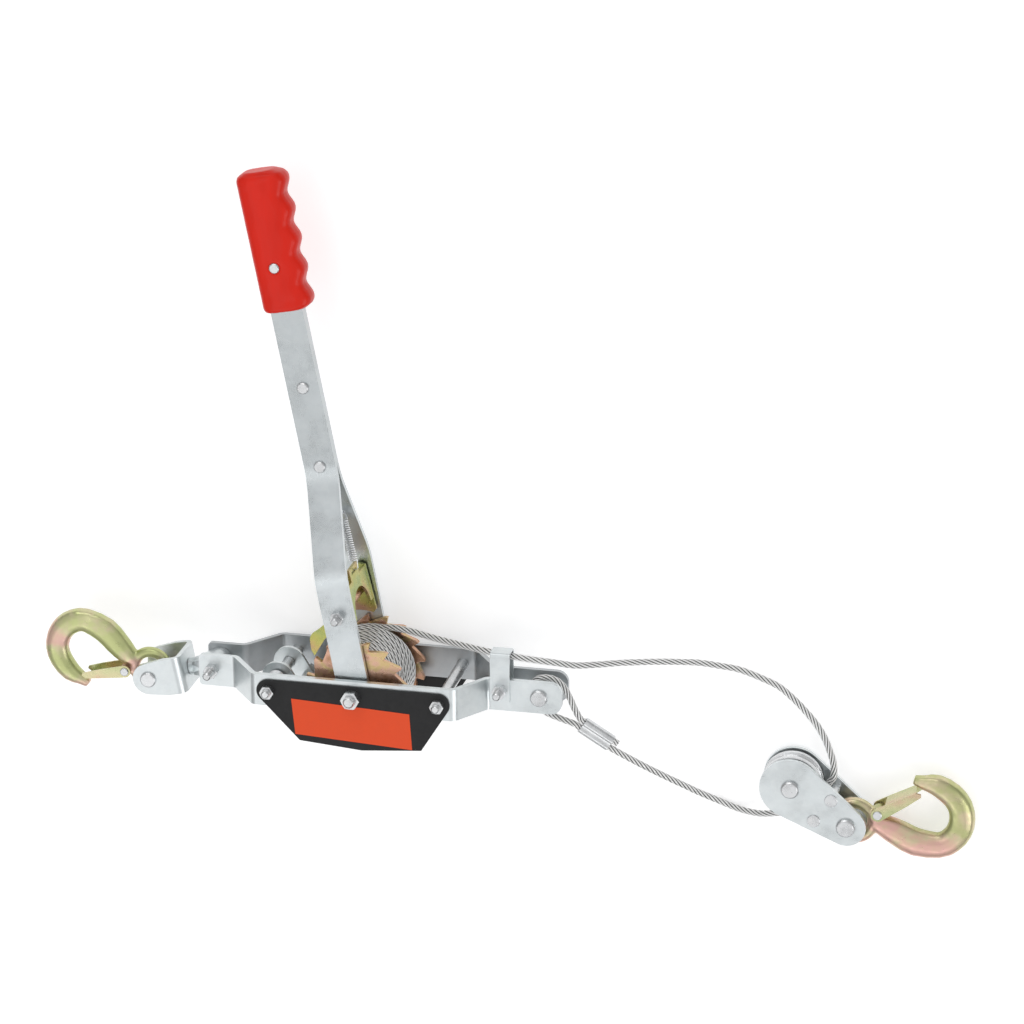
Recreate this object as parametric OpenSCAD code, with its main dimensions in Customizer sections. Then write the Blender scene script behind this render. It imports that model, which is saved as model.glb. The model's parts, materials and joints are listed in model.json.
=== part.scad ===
// Come-along winch: a hand ratchet puller with a two-part wire rope line.
// Units are millimetres. The winch lies on its side: +X is the pull line towards the load hook,
// +Y is the handle side, +Z is the axle's direction, and z = 0 is the surface it rests on.

/* [Frame] */
// Inner half gap between the two side plates at the drum
plate_half_gap = 38; // [38:0.5:44]
// Thickness of a side plate
plate_t = 4; // [3:0.5:5]
// Width of the flat bar that the side plates are bent from
plate_w = 25; // [22:0.5:30]
// Inner half gap between the two plates at either neck
neck_half_gap = 10; // [9:0.5:12]
// Distance from the axle to the cross bolt on the anchor side
anchor_cross_x = 65; // [63:1:70]
// Distance from the axle to the cross bolt on the load side
load_cross_x = 66; // [63:1:70]
// Distance from the axle to the start of the joggle
joggle_start_x = 77; // [76:1:80]
// Length of the joggle along the plate
joggle_run = 22; // [18:1:24]
// Distance from the axle to the swivel bolt
swivel_x = 118; // [116:1:124]
// Distance from the axle to the rope guide bolt
guide_x = 107; // [106:1:109]
// Distance from the axle to the rope end pin
rope_pin_x = 136.5; // [135:0.5:138]
// Bar left beyond the swivel bolt
anchor_end_margin = 10; // [9:1:13]
// Bar left beyond the rope end pin
load_end_margin = 17.5; // [14:0.5:20]

/* [Guards] */
// Thickness of a guard plate
guard_t = 1.5; // [1:0.5:2.5]
// Radius of a guard's ends about the cross bolts
guard_end_r = 9; // [8:0.5:11]
// Depth of a guard's lower corners below the axle
guard_drop = 38; // [34:1:44]
// Extra depth at the middle of a guard's lower edge
guard_belly = 4; // [1:0.5:7]

/* [Axle and bolts] */
// Diameter of the axle bolt
axle_d = 8; // [6:1:10]
// Diameter of the cross bolts
cross_bolt_d = 6; // [5:0.5:7]
// Outside diameter of the cross spacers
cross_spacer_d = 9; // [8:0.5:10]
// Diameter of the swivel bolt and of the guide bolt
small_bolt_d = 6; // [5:0.5:7]
// Diameter of the rope end pin
rope_pin_d = 10; // [8:0.5:11]

/* [Drum and ratchet] */
// Number of ratchet teeth on each wheel
tooth_count = 16; // [14:1:20]
// Tip radius of a ratchet wheel
wheel_r = 40; // [38:0.5:41]
// Depth of a ratchet tooth
tooth_depth = 6.5; // [5:0.5:7]
// Thickness of a ratchet wheel
wheel_t = 4.5; // [4:0.25:5]
// Clearance between a wheel and the handle's fork
wheel_gap = 1.5; // [1:0.25:2.5]
// Outside diameter of the bare drum tube
drum_tube_d = 26; // [20:1:36]
// Diameter of the wire rope
rope_d = 5.2; // [4:0.1:5.2]
// Mean radius of the outer rope layer, measured to the rope's middle
winding_r = 30; // [28.5:0.25:31]
// How much fuller the winding is at the rear wheel than at the front wheel
winding_taper = 4.8; // [0:0.4:5.2]

/* [Handle] */
// Lean of the handle from square to the pull line
handle_tilt = 10.7; // [5:0.1:14]
// Width of a handle strap
strap_w = 24.5; // [22:0.5:26]
// Thickness of a handle strap
strap_t = 4; // [3:0.5:4]
// Outer half width of the handle fork
fork_half_w = 35; // [34.5:0.25:35.5]
// Distance from the axle to the lower bend of the fork
fork_lower_bend = 90; // [86:1:96]
// Distance from the axle to the upper bend of the fork
fork_upper_bend = 161; // [156:1:164]
// Distance from the axle to the top of the grip
handle_l = 397; // [370:1:430]
// Length of the grip
grip_l = 105; // [96:1:116]
// Width of the grip without its finger ridges
grip_w = 33; // [31:0.5:36]
// Thickness of the grip
grip_t = 24; // [20:0.5:28]
// Height of a finger ridge
ridge_h = 4; // [1:0.2:5]

/* [Pawls] */
// Distance from the axle to the drive pawl's pivot
pawl_pivot_s = 61.8; // [61:0.2:63]
// Thickness of the pawl sheet
pawl_t = 3; // [2.5:0.25:3.5]
// How far the drive pawl is lifted out of mesh
drive_lift = 9; // [8.6:0.1:10]
// How far the holding pawl is lifted out of mesh
hold_lift = 11; // [10.6:0.1:12]

/* [Swivel and clevis] */
// Angle of the swivel from the pull line
swivel_angle = 11; // [-10:1:20]
// Diameter of the swivel stud
stud_d = 9; // [8:0.5:10]
// Distance from the swivel bolt to the clevis pin
clevis_reach = 50; // [48:0.5:56]
// Inner half gap of the clevis
clevis_half_gap = 16; // [14:0.5:19]
// Thickness of the clevis bar
clevis_t = 4; // [3:0.5:5]
// Width of the clevis bar
clevis_w = 29; // [26:0.5:32]
// Diameter of the clevis pin and of the load hook's pin
hook_pin_d = 10; // [8:0.5:11]

/* [Hooks] */
// Size of the anchor hook against the load hook
anchor_hook_size = 0.94; // [0.9:0.01:1]
// Angle of the anchor hook from the pull line
anchor_hook_angle = 166; // [150:1:190]
// Angle of the load hook from the pull line
load_hook_angle = 8; // [-20:1:20]
// Distance from the middle of a hook's eye to the middle of its bowl
hook_reach = 58.5; // [56:0.5:64]
// Inner radius of a hook's bowl
bowl_r = 12.7; // [11.5:0.1:14]
// Width of a hook's body at the bowl
hook_body_w = 20; // [17:0.5:22]
// Thickness of a hook's body
hook_body_t = 14; // [12:0.5:16]
// Radius of the eye ring, measured to its middle
eye_ring_r = 14.2; // [13.6:0.1:15]
// Diameter of the eye ring's section
eye_bar_d = 8.8; // [8:0.1:9.6]

/* [Pulley block] */
// Place of the sheave's middle along the pull line
block_x = 322.3; // [320:0.5:326]
// Place of the sheave's middle across the pull line
block_y = -71; // [-72:0.5:-70]
// Angle of the block from the pull line
block_angle = -32.7; // [-34:0.1:-31]
// Distance from the sheave pin to the load hook's pin
block_pin_gap = 50.7; // [50:0.1:54]
// Radius of the block's wide end
block_big_r = 23.5; // [23.2:0.1:26]
// Radius of the block's narrow end
block_small_r = 15.2; // [13:0.2:17]
// Thickness of a block plate
block_plate_t = 3.5; // [3:0.25:4]
// Width of the block over its plates
block_w = 28; // [26:0.5:30]
// Radius of the rope's middle on the sheave
sheave_pitch_r = 23; // [22.9:0.05:23.1]
// Width of the sheave
sheave_w = 14; // [11:0.5:15]
// Diameter of the sheave pin
sheave_pin_d = 10; // [8:0.5:11]

/* [Hidden] */

$fn = 64;

// Fits and small clearances
run_fit = 0.05;      // radial clearance of a shaft that turns in its hole
bolt_fit = 0.1;      // radial clearance of a bolt in a fixed hole
touch_gap = 0.3;     // gap between pieces that slide past each other

// Fastener sizes that follow from their bolts
axle_head_h = 0.66 * axle_d;
axle_nut_h = 0.82 * axle_d;
cross_head_h = 0.66 * cross_bolt_d;
cross_nut_h = 0.83 * cross_bolt_d;
small_nut_h = 0.83 * small_bolt_d;
bolt_tail = 3.6;     // thread that stands out of a nut
guide_tail = 8;
swivel_tail = 9;
pawl_tail = 6.5;

// Heights measured from the frame's middle plane
plate_mid_z = plate_half_gap + plate_t / 2;
neck_mid_z = neck_half_gap + plate_t / 2;
neck_out_z = neck_half_gap + plate_t;
plate_out_z = plate_half_gap + plate_t;
guard_out_z = plate_out_z + guard_t;

// The axle bolt's head stands on the surface, which puts the middle plane here
mid_z = guard_out_z + axle_head_h;

// Ends of the side plates
anchor_end_x = -(swivel_x + anchor_end_margin);
load_end_x = rope_pin_x + load_end_margin;
bend_r = 6;

// Drum stack, which fits inside the handle's fork
drum_half_l = fork_half_w - strap_t - wheel_gap - wheel_t;
wheel_mid_z = drum_half_l + wheel_t / 2;
wheel_out_z = drum_half_l + wheel_t;
tooth_pitch = 360 / tooth_count;
wheel_phase = 7;     // angle of the first tooth tip from the pull line
tooth_root_r = wheel_r - tooth_depth;
rope_r = rope_d / 2;
winding_pitch = rope_d + 0.46;
winding_turns = floor(2 * (2 * drum_half_l - rope_d - 1.5) / winding_pitch) / 2;
fork_mid_z = fork_half_w - strap_t / 2;
fork_in_z = fork_half_w - strap_t;

// Pawls: their cheeks run in the planes of the wheels
cheek_mid_z = wheel_mid_z;
cheek_in_z = cheek_mid_z - pawl_t / 2;
pawl_bolt_d = 6;
pawl_spacer_d = 9;
tip_clear = 3.2;     // what a pawl's underside keeps from the tooth tips

// Handle
grip_from = handle_l - grip_l;
strap_top = handle_l - 8;
rivet_s = [fork_upper_bend + 9, fork_upper_bend + 70.7];
grip_rivet_s = handle_l - 71.5;
spring_hole_s = 127;
spring_hole_t = 3.8;
spring_wire_d = 1.1;

// Pulley block, which lies on the surface on its pin heads
pin_head_h = 3;
block_mid_z = pin_head_h + block_w / 2;
block_in_z = block_w / 2 - block_plate_t;
spacer_d = 8;
spacer_spots = [[29.6, 11.4], [28.5, -10.5]];

// Hooks
eye_hole_r = eye_ring_r - eye_bar_d / 2;
latch_pivot = [19.4, 6.6];
latch_rivet_d = 4;
latch_boss_t = 10;
latch_sheet_t = 1.4;

// Ferrule: where it starts, which way it points and its size
ferrule_at = [166.2, -26, -3];
ferrule_heading = -34.9;
ferrule_dip = 7;
ferrule_l = 26;
ferrule_lobe_r = rope_r + 1.3;
ferrule_half_step = rope_r + 0.5;
ferrule_dir = [cos(ferrule_heading) * cos(ferrule_dip), sin(ferrule_heading) * cos(ferrule_dip), -sin(ferrule_dip)];
ferrule_side = [-sin(ferrule_heading), cos(ferrule_heading), 0];
// A point l along the ferrule, in the middle of one of its two lobes
function in_ferrule(l, side) = ferrule_at + l * ferrule_dir + side * ferrule_half_step * ferrule_side;

// Where the rope meets and leaves the sheave, and points on its straight leads beyond there
wrap_from = -30;
wrap_to = -75;
function on_sheave(a, l) = [
    block_x + sheave_pitch_r * cos(a) + l * sin(a),
    block_y + sheave_pitch_r * sin(a) - l * cos(a),
    block_mid_z - mid_z
];

// Rope route points [x, y, height above the middle plane], chosen by hand.
// The pull run lies on top of the winding, leaves the drum, passes the guide and sags to the block.
PULL_ROUTE = [
    [rope_d, winding_r_at(winding_z(0)), winding_z(0)],
    [rope_d + 3, winding_r_at(winding_z(0)), winding_z(0)], [14, 32.9, -20], [22, 33.1, -18.3], [32, 32.3, -17],
    [43.2, 30.8, -14.8], [54.4, 30, -11.6], [66.6, 29.7, -7.4],
    [83.2, 29.8, -0.8], [96.7, 30.1, 4.2], [108.5, 29.3, 5.4],
    [121.2, 27.6, 5.2], [133.9, 25.8, 3.2], [146.7, 23.4, -0.8], [160.3, 20.1, -6.6], [177.1, 19.2, -14.4],
    [191.3, 19.2, -20.4], [205.5, 19.1, -25.2], [219.8, 18.9, -29.6], [234, 18.5, -33.2],
    [249.1, 18, -36], [264.2, 16.2, -37.6], [279.1, 14.1, -38.4], [294.1, 9.3, -38.4],
    [309, 3.1, -38.2], [320.9, -6, -37.6], [331.8, -16.6, -36.8], [339.2, -25.1, -36],
    [345.1, -34.4, -35.2], [349.4, -44, -34], [352.5, -53.2, -32.9],
    each [for (l = [22, 16, 11]) on_sheave(wrap_from, -l)]
];
// The return run leaves the block below the sheave and rises to the ferrule.
RETURN_ROUTE = [
    each [for (l = [13, 18]) on_sheave(wrap_to, l)],
    [300, -101.5, -36], [290, -103.5, -41], [278, -103, -45],
    [265, -98, -44], [251, -90, -38], [237, -79.5, -29], [222, -69, -21],
    [207.8, -58.6, -13.5],
    each [for (l = [ferrule_l + 5, ferrule_l]) in_ferrule(l, -1)]
];
// The eye loop leaves the ferrule, passes behind the rope pin and comes back beside itself.
EYE_ROUTE = [
    in_ferrule(0, 1), in_ferrule(-4, 1), [160.8, -13.5, -1.6], [157.5, -5, -0.6], [153.6, 3, 0],
    [148, 8.8, 0], [140.5, 11, 0], [132.2, 9, 0], [127.8, 1, 0],
    [128.6, -7.5, 0], [133, -14, -0.5], [141, -18.6, -1], [151, -22.4, -1.6],
    in_ferrule(-5, -1), in_ferrule(0, -1)
];

// ---------------------------------------------------------------- small helpers

function unit(v) = v / norm(v);

// Points on an arc about c
function arc(c, r, a0, a1, n) = [for (i = [0:n]) c + r * [cos(a0 + (a1 - a0) * i / n), sin(a0 + (a1 - a0) * i / n)]];

// Angle of a 2D vector
function heading(v) = atan2(v[1], v[0]);

// Where the tangent from point p meets the circle about c; side is +1 or -1
function tangent_point(c, r, p, side) =
    let (d = p - c, a = heading(d) + side * acos(r / norm(d)))
    c + r * [cos(a), sin(a)];

// An open path with its inner corners rounded to radius r in n steps
function bent(path, r, n = 5) = [
    for (i = [0:len(path) - 1])
        if (i == 0 || i == len(path) - 1) path[i]
        else let (
            u = unit(path[i - 1] - path[i]),
            v = unit(path[i + 1] - path[i]),
            half = acos(max(-1, min(1, u * v))) / 2,
            back = min(r / tan(half), 0.45 * norm(path[i - 1] - path[i]), 0.45 * norm(path[i + 1] - path[i])),
            rr = back * tan(half),
            c = path[i] + unit(u + v) * rr / sin(half),
            a0 = heading(path[i] + u * back - c),
            a1 = heading(path[i] + v * back - c),
            turn = (a1 - a0 + 540) % 360 - 180
        )
        each [for (k = [0:n]) c + rr * [cos(a0 + turn * k / n), sin(a0 + turn * k / n)]]
];

// Unit normal of a path at point i
function path_normal(path, i) =
    let (
        a = i == 0 ? path[1] - path[0] : unit(path[i] - path[i - 1]),
        b = i == len(path) - 1 ? path[i] - path[i - 1] : unit(path[i + 1] - path[i]),
        d = unit(unit(a) + unit(b))
    )
    [-d[1], d[0]];

// Outline of a bar of thickness t that follows the path
function bar_outline(path, t) = concat(
    [for (i = [0:len(path) - 1]) path[i] + path_normal(path, i) * t / 2],
    [for (i = [len(path) - 1:-1:0]) path[i] - path_normal(path, i) * t / 2]
);

// A bar bent in the X-Z plane, w wide along Y
module bent_bar(path, t, w) {
    rotate([90, 0, 0])
        linear_extrude(w, center = true)
            polygon(bar_outline(bent(path, bend_r), t));
}

// Hexagonal nut with chamfered corners, from z = 0 up
module hex_nut(d, h, hole_r) {
    across = 0.92 * d;
    difference() {
        intersection() {
            cylinder(h = h, r = across, $fn = 6);
            rotate_extrude()
                polygon([[0, 0], [across - 0.8, 0], [across, 0.5], [across, h - 0.5], [across - 0.8, h], [0, h]]);
        }
        translate([0, 0, -1]) cylinder(h = h + 2, r = hole_r);
    }
}

// Hexagonal bolt: head from z = 0 up, shank to length l with a chamfered end
module hex_bolt(d, head_h, l) {
    across = 0.92 * d;
    intersection() {
        cylinder(h = head_h, r = across, $fn = 6);
        rotate_extrude()
            polygon([[0, 0], [across - 0.8, 0], [across, 0.6], [across, head_h], [0, head_h]]);
    }
    shank(d, head_h, l);
}

// Shank from z0 to z1 with a small chamfer at the far end
module shank(d, z0, z1) {
    rotate_extrude()
        polygon([[0, z0 - 0.2], [d / 2, z0 - 0.2], [d / 2, z1 - 0.8], [d / 2 - 0.8, z1], [0, z1]]);
}

// Round pin with a low domed head at both ends
module headed_pin(d, half_l, head_r, head_h) {
    cylinder(h = 2 * half_l + 0.4, r = d / 2, center = true);
    for (s = [0, 1]) mirror([0, 0, s])
        translate([0, 0, half_l])
            rotate_extrude()
                polygon([[0, 0], [head_r, 0], [head_r, 0.55 * head_h], [head_r - 0.45 * head_h, head_h], [0, head_h]]);
}

// Round tube swept along points, n sides
function turn_about(v, k, a) = v * cos(a) + cross(k, v) * sin(a) + k * (k * v) * (1 - cos(a));
function path_dir(p, i) =
    i == 0 ? unit(p[1] - p[0]) : i == len(p) - 1 ? unit(p[i] - p[i - 1]) : unit(unit(p[i + 1] - p[i]) + unit(p[i] - p[i - 1]));
function carried(p) = [
    for (
        i = 0, d = path_dir(p, 0), u = unit(cross(abs(d[2]) > 0.9 ? [1, 0, 0] : [0, 0, 1], d));
        i < len(p);
        i = i + 1,
        e = i < len(p) ? path_dir(p, i) : d,
        axis = cross(d, e),
        u = norm(axis) < 1e-9 ? u : unit(turn_about(u, unit(axis), asin(min(1, norm(axis))))),
        d = e
    ) [d, u]
];
module tube(p, r, n) {
    frames = carried(p);
    rings = [for (i = [0:len(p) - 1], k = [0:n - 1])
        let (d = frames[i][0], u = frames[i][1], v = cross(d, u), a = 360 * k / n)
        p[i] + r * (cos(a) * u + sin(a) * v)];
    m = len(p);
    walls = [for (i = [0:m - 2], k = [0:n - 1])
        let (a = i * n + k, b = i * n + (k + 1) % n)
        each [[a, a + n, b], [b, a + n, b + n]]];
    caps = concat(
        [for (k = [1:n - 2]) [0, k, k + 1]],
        [for (k = [1:n - 2]) [(m - 1) * n, (m - 1) * n + k + 1, (m - 1) * n + k]]
    );
    polyhedron(points = rings, faces = concat(walls, caps), convexity = 8);
}

// Least distance between tube middles that lie more than skip points apart
function self_gap(p, skip, r) =
    min([for (i = [0:len(p) - 1], j = [i + skip:1:len(p) - 1]) norm(p[i] - p[j])]) - 2 * r;

// ---------------------------------------------------------------- frames of reference

module at_middle() {
    translate([0, 0, mid_z]) children();
}

// The handle's own frame: X across it, Y along it
module in_handle() {
    at_middle() rotate([0, 0, handle_tilt]) children();
}

// The swivel's own frame: X along the stud, away from the swivel bolt
module in_swivel() {
    at_middle() translate([-swivel_x, 0, 0]) rotate([0, 0, 180 + swivel_angle]) children();
}

clevis_pin_at = [-swivel_x, 0] + clevis_reach * [cos(180 + swivel_angle), sin(180 + swivel_angle)];
load_pin_at = [block_x, block_y] + block_pin_gap * [cos(block_angle), sin(block_angle)];

// A hook's frame: its eye hangs on the pin at pin_at and it points along angle
module in_hook(pin_at, z, angle, size) {
    shift = size * eye_hole_r - hook_pin_d / 2 - 0.1;
    translate([pin_at[0], pin_at[1], z])
        rotate([0, 0, angle])
            translate([shift, 0, 0])
                scale(size) children();
}
module in_anchor_hook() {
    in_hook(clevis_pin_at, mid_z, anchor_hook_angle, anchor_hook_size) children();
}
module in_load_hook() {
    in_hook(load_pin_at, block_mid_z, load_hook_angle, 1) children();
}

module in_block() {
    translate([block_x, block_y, block_mid_z]) rotate([0, 0, block_angle]) children();
}

// ---------------------------------------------------------------- frame

// Path of a side plate through both necks
plate_path = [
    [anchor_end_x, neck_mid_z],
    [-joggle_start_x - joggle_run, neck_mid_z],
    [-joggle_start_x, plate_mid_z],
    [joggle_start_x, plate_mid_z],
    [joggle_start_x + joggle_run - 2, neck_mid_z],
    [load_end_x, neck_mid_z]
];
neck_corner_r = 9;
anchor_corner_r = 3;

// Outline of a side plate seen along the axle, with one rounded end and one with eased corners
module plate_outline() {
    half = plate_w / 2;
    difference() {
        union() {
            translate([anchor_end_x + anchor_corner_r, -half])
                square([load_end_x - anchor_end_x - anchor_corner_r - neck_corner_r, plate_w]);
            translate([anchor_end_x, -half + anchor_corner_r])
                square([anchor_corner_r + 1, plate_w - 2 * anchor_corner_r]);
            translate([load_end_x - neck_corner_r - 1, -half + neck_corner_r])
                square([neck_corner_r + 1, plate_w - 2 * neck_corner_r]);
            for (s = [-1, 1]) {
                translate([anchor_end_x + anchor_corner_r, s * (half - anchor_corner_r)]) circle(anchor_corner_r);
                translate([load_end_x - neck_corner_r, s * (half - neck_corner_r)]) circle(neck_corner_r);
            }
        }
        circle(axle_d / 2 + bolt_fit);
        translate([-anchor_cross_x, 0]) circle(cross_bolt_d / 2 + bolt_fit);
        translate([load_cross_x, 0]) circle(cross_bolt_d / 2 + bolt_fit);
        translate([-swivel_x, 0]) circle(small_bolt_d / 2 + bolt_fit);
        translate([guide_x, guide_bolt_y]) circle(small_bolt_d / 2 + bolt_fit);
        translate([rope_pin_x, 0]) circle(rope_pin_d / 2 + bolt_fit);
    }
}

module side_plate() {
    intersection() {
        bent_bar(plate_path, plate_t, plate_w + 2);
        linear_extrude(plate_out_z + 2) plate_outline();
    }
}

module front_plate() {
    color("silver") at_middle() side_plate();
}

module rear_plate() {
    color("silver") at_middle() mirror([0, 0, 1]) side_plate();
}

// Flat guard that covers the lower half of the wheels
guard_low = [[-41, -guard_drop], [7, -guard_drop - guard_belly], [53, -guard_drop]];

module guard_outline() {
    left = [-anchor_cross_x, 0];
    right = [load_cross_x, 0];
    difference() {
        hull() {
            polygon(guard_low);
            translate(left) circle(guard_end_r);
            translate(right) circle(guard_end_r);
        }
        circle(axle_d / 2 + bolt_fit);
        translate(left) circle(cross_bolt_d / 2 + bolt_fit);
        translate(right) circle(cross_bolt_d / 2 + bolt_fit);
    }
}

module front_guard() {
    color("#2b2b2b") at_middle() translate([0, 0, plate_out_z]) linear_extrude(guard_t) guard_outline();
}

module rear_guard() {
    color("#2b2b2b") at_middle() translate([0, 0, -guard_out_z]) linear_extrude(guard_t) guard_outline();
}

// Blank warning panel on the front guard, cut round the axle nut
module label_panel() {
    color("orangered") at_middle() translate([0, 0, guard_out_z]) linear_extrude(0.3) difference() {
        polygon([[-46.9, -4.4], [44.3, -9], [46.1, -37.9], [-44.3, -33]]);
        circle(8);
    }
}

module axle_bolt() {
    color("gainsboro") hex_bolt(axle_d, axle_head_h, mid_z + guard_out_z + axle_nut_h + bolt_tail);
}

module axle_nut() {
    color("gainsboro") at_middle() translate([0, 0, guard_out_z]) hex_nut(axle_d, axle_nut_h, axle_d / 2 + run_fit);
}

// Rings on the axle: two beside the wheels, two between the handle and the side plates
module axle_washers() {
    color("darkgray") at_middle()
        for (s = [0, 1]) mirror([0, 0, s]) {
            ring(9, axle_d / 2 + bolt_fit, wheel_out_z + 0.15, fork_in_z - 0.15);
            ring(9, axle_d / 2 + bolt_fit, fork_half_w + 0.15, plate_half_gap);
        }
}

module ring(r_out, r_in, z0, z1) {
    translate([0, 0, z0]) difference() {
        cylinder(h = z1 - z0, r = r_out);
        translate([0, 0, -1]) cylinder(h = z1 - z0 + 2, r = r_in);
    }
}

module at_cross_bolts() {
    for (x = [-anchor_cross_x, load_cross_x]) translate([x, 0, 0]) children();
}

module cross_bolts() {
    color("gainsboro") at_middle() at_cross_bolts()
        translate([0, 0, -guard_out_z - cross_head_h])
            hex_bolt(cross_bolt_d, cross_head_h, 2 * guard_out_z + cross_head_h + cross_nut_h + bolt_tail);
}

module cross_nuts() {
    color("gainsboro") at_middle() at_cross_bolts()
        translate([0, 0, guard_out_z]) hex_nut(cross_bolt_d, cross_nut_h, cross_bolt_d / 2 + run_fit);
}

module cross_spacers() {
    color("lightsteelblue") at_middle() at_cross_bolts()
        ring(cross_spacer_d / 2, cross_bolt_d / 2 + bolt_fit, -plate_half_gap, plate_half_gap);
}

// Rope guide: a strip bent over the front plate and the rope, held by one bolt
guide_w = 15;
guide_t = 1.6;
guide_top_y = 34;
guide_foot_y = -5;
guide_back_z = 0;
guide_bolt_y = 4;
guide_out_z = neck_out_z + guide_t;

module guide_clip() {
    front = neck_out_z + guide_t / 2;
    back = guide_back_z + guide_t / 2;
    top = guide_top_y - guide_t / 2;
    color("silver") at_middle() translate([guide_x, 0, 0]) difference() {
        rotate([0, 90, 0]) linear_extrude(guide_w, center = true)
            polygon(bar_outline(bent([[-front, guide_foot_y], [-front, top], [-back, top], [-back, guide_foot_y]], 3),
                guide_t));
        translate([0, guide_bolt_y, 0]) cylinder(h = 4 * front, r = small_bolt_d / 2 + bolt_fit, center = true);
    }
}

module guide_bolt() {
    head_h = 0.66 * small_bolt_d;
    color("gainsboro") at_middle() translate([guide_x, guide_bolt_y, -neck_out_z - head_h])
        hex_bolt(small_bolt_d, head_h, neck_out_z + guide_out_z + head_h + small_nut_h + guide_tail);
}

module guide_nut() {
    color("gainsboro") at_middle() translate([guide_x, guide_bolt_y, guide_out_z])
        hex_nut(small_bolt_d, small_nut_h, small_bolt_d / 2 + run_fit);
}

module rope_pin() {
    color("gainsboro") at_middle() translate([rope_pin_x, 0, 0])
        headed_pin(rope_pin_d, neck_out_z, rope_pin_d / 2 + 1.6, 2.6);
}

module swivel_bolt() {
    head_h = 0.66 * small_bolt_d;
    color("gainsboro") at_middle() translate([-swivel_x, 0, -neck_out_z - head_h])
        hex_bolt(small_bolt_d, head_h, 2 * neck_out_z + head_h + small_nut_h + swivel_tail);
}

module swivel_nut() {
    color("gainsboro") at_middle() translate([-swivel_x, 0, neck_out_z])
        hex_nut(small_bolt_d, small_nut_h, small_bolt_d / 2 + run_fit);
}

// ---------------------------------------------------------------- rope

rope_sides = 8;

module rope_pull_run() {
    color("darkgray") at_middle() tube(PULL_ROUTE, rope_r, rope_sides);
}

module rope_return_run() {
    color("darkgray") at_middle() tube(RETURN_ROUTE, rope_r, rope_sides);
}

module rope_eye_loop() {
    color("darkgray") at_middle() tube(EYE_ROUTE, rope_r, rope_sides);
}

// Part of the rope that lies round the sheave, in the block
module rope_block_turn() {
    color("darkgray") at_middle() tube(concat(
        [on_sheave(wrap_from, -11)],
        [for (a = [wrap_from:-9:wrap_to]) on_sheave(a, 0)],
        [on_sheave(wrap_to, 13)]
    ), rope_r, rope_sides);
}

// Crimped two-lobed sleeve that closes the rope's eye
module rope_ferrule() {
    color("gainsboro") at_middle() translate(ferrule_at)
        rotate([0, 0, ferrule_heading])
            rotate([0, 90 + ferrule_dip, 0]) {
                for (s = [-1, 1]) translate([0, s * ferrule_half_step, 0])
                    cylinder(h = ferrule_l, r = ferrule_lobe_r);
                translate([-ferrule_lobe_r + 0.6, -ferrule_half_step, 0])
                    cube([2 * ferrule_lobe_r - 1.2, 2 * ferrule_half_step, ferrule_l]);
            }
}

// ---------------------------------------------------------------- drum

module drum_tube() {
    color("slategray") at_middle()
        ring(drum_tube_d / 2, axle_d / 2 + run_fit, -drum_half_l, drum_half_l);
}

// Saw teeth: each has a steep face on its clockwise side and a long back
function ratchet_points() = [
    for (i = [0:tooth_count - 1])
        let (a = wheel_phase + i * tooth_pitch)
        each [
            tooth_root_r * [cos(a - 0.5), sin(a - 0.5)],
            wheel_r * [cos(a), sin(a)],
            (wheel_r - 0.1 * tooth_depth) * [cos(a + 0.16 * tooth_pitch), sin(a + 0.16 * tooth_pitch)],
            (wheel_r - 0.86 * tooth_depth) * [cos(a + 0.8 * tooth_pitch), sin(a + 0.8 * tooth_pitch)]
        ]
];

module ratchet_wheel() {
    linear_extrude(wheel_t, center = true)
        difference() {
            polygon(ratchet_points());
            circle(axle_d / 2 + run_fit);
        }
}

module front_ratchet() {
    color("peru") at_middle() translate([0, 0, wheel_mid_z]) ratchet_wheel();
}

module rear_ratchet() {
    color("peru") at_middle() translate([0, 0, -wheel_mid_z]) ratchet_wheel();
}

// Height and radius of the outer layer's middle: it is fullest at the rear wheel
function winding_z(f) = (f - 0.5) * winding_turns * winding_pitch;
function winding_r_at(z) = winding_r - winding_taper * z / (2 * drum_half_l);

// The inner layers are one plain cone under the outer layer
module rope_inner_layers() {
    half = drum_half_l - 0.1;
    under = rope_r + 0.2;
    color("gray") at_middle() rotate_extrude() polygon([
        [drum_tube_d / 2 + 0.05, -half],
        [winding_r_at(-half) - under, -half],
        [winding_r_at(half) - under, half],
        [drum_tube_d / 2 + 0.05, half]
    ]);
}

// Outer layer: one unbroken helix from the top at the rear wheel, its ends straight for a rope diameter
rings_per_turn = 24;
winding_rings = winding_turns * rings_per_turn;
function winding_at(i) =
    let (a = 90 + 360 * i / rings_per_turn, z = winding_z(i / winding_rings), r = winding_r_at(z))
    [r * cos(a), r * sin(a), z];
winding_points = let (
    body = [for (i = [0:winding_rings]) winding_at(i)],
    d1 = unit(body[winding_rings] - body[winding_rings - 1])
) concat([body[0] + [rope_d, 0, 0]], body, [body[winding_rings] + d1 * rope_d]);

module rope_winding() {
    color("darkgray") at_middle() tube(winding_points, rope_r, 6);
    echo(winding_self_gap = self_gap(winding_points, rings_per_turn / 2, rope_r));
}

// ---------------------------------------------------------------- handle

strap_path = [
    [-strap_w, fork_mid_z],
    [fork_lower_bend, fork_mid_z],
    [fork_upper_bend, strap_t / 2],
    [strap_top, strap_t / 2]
];

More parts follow.
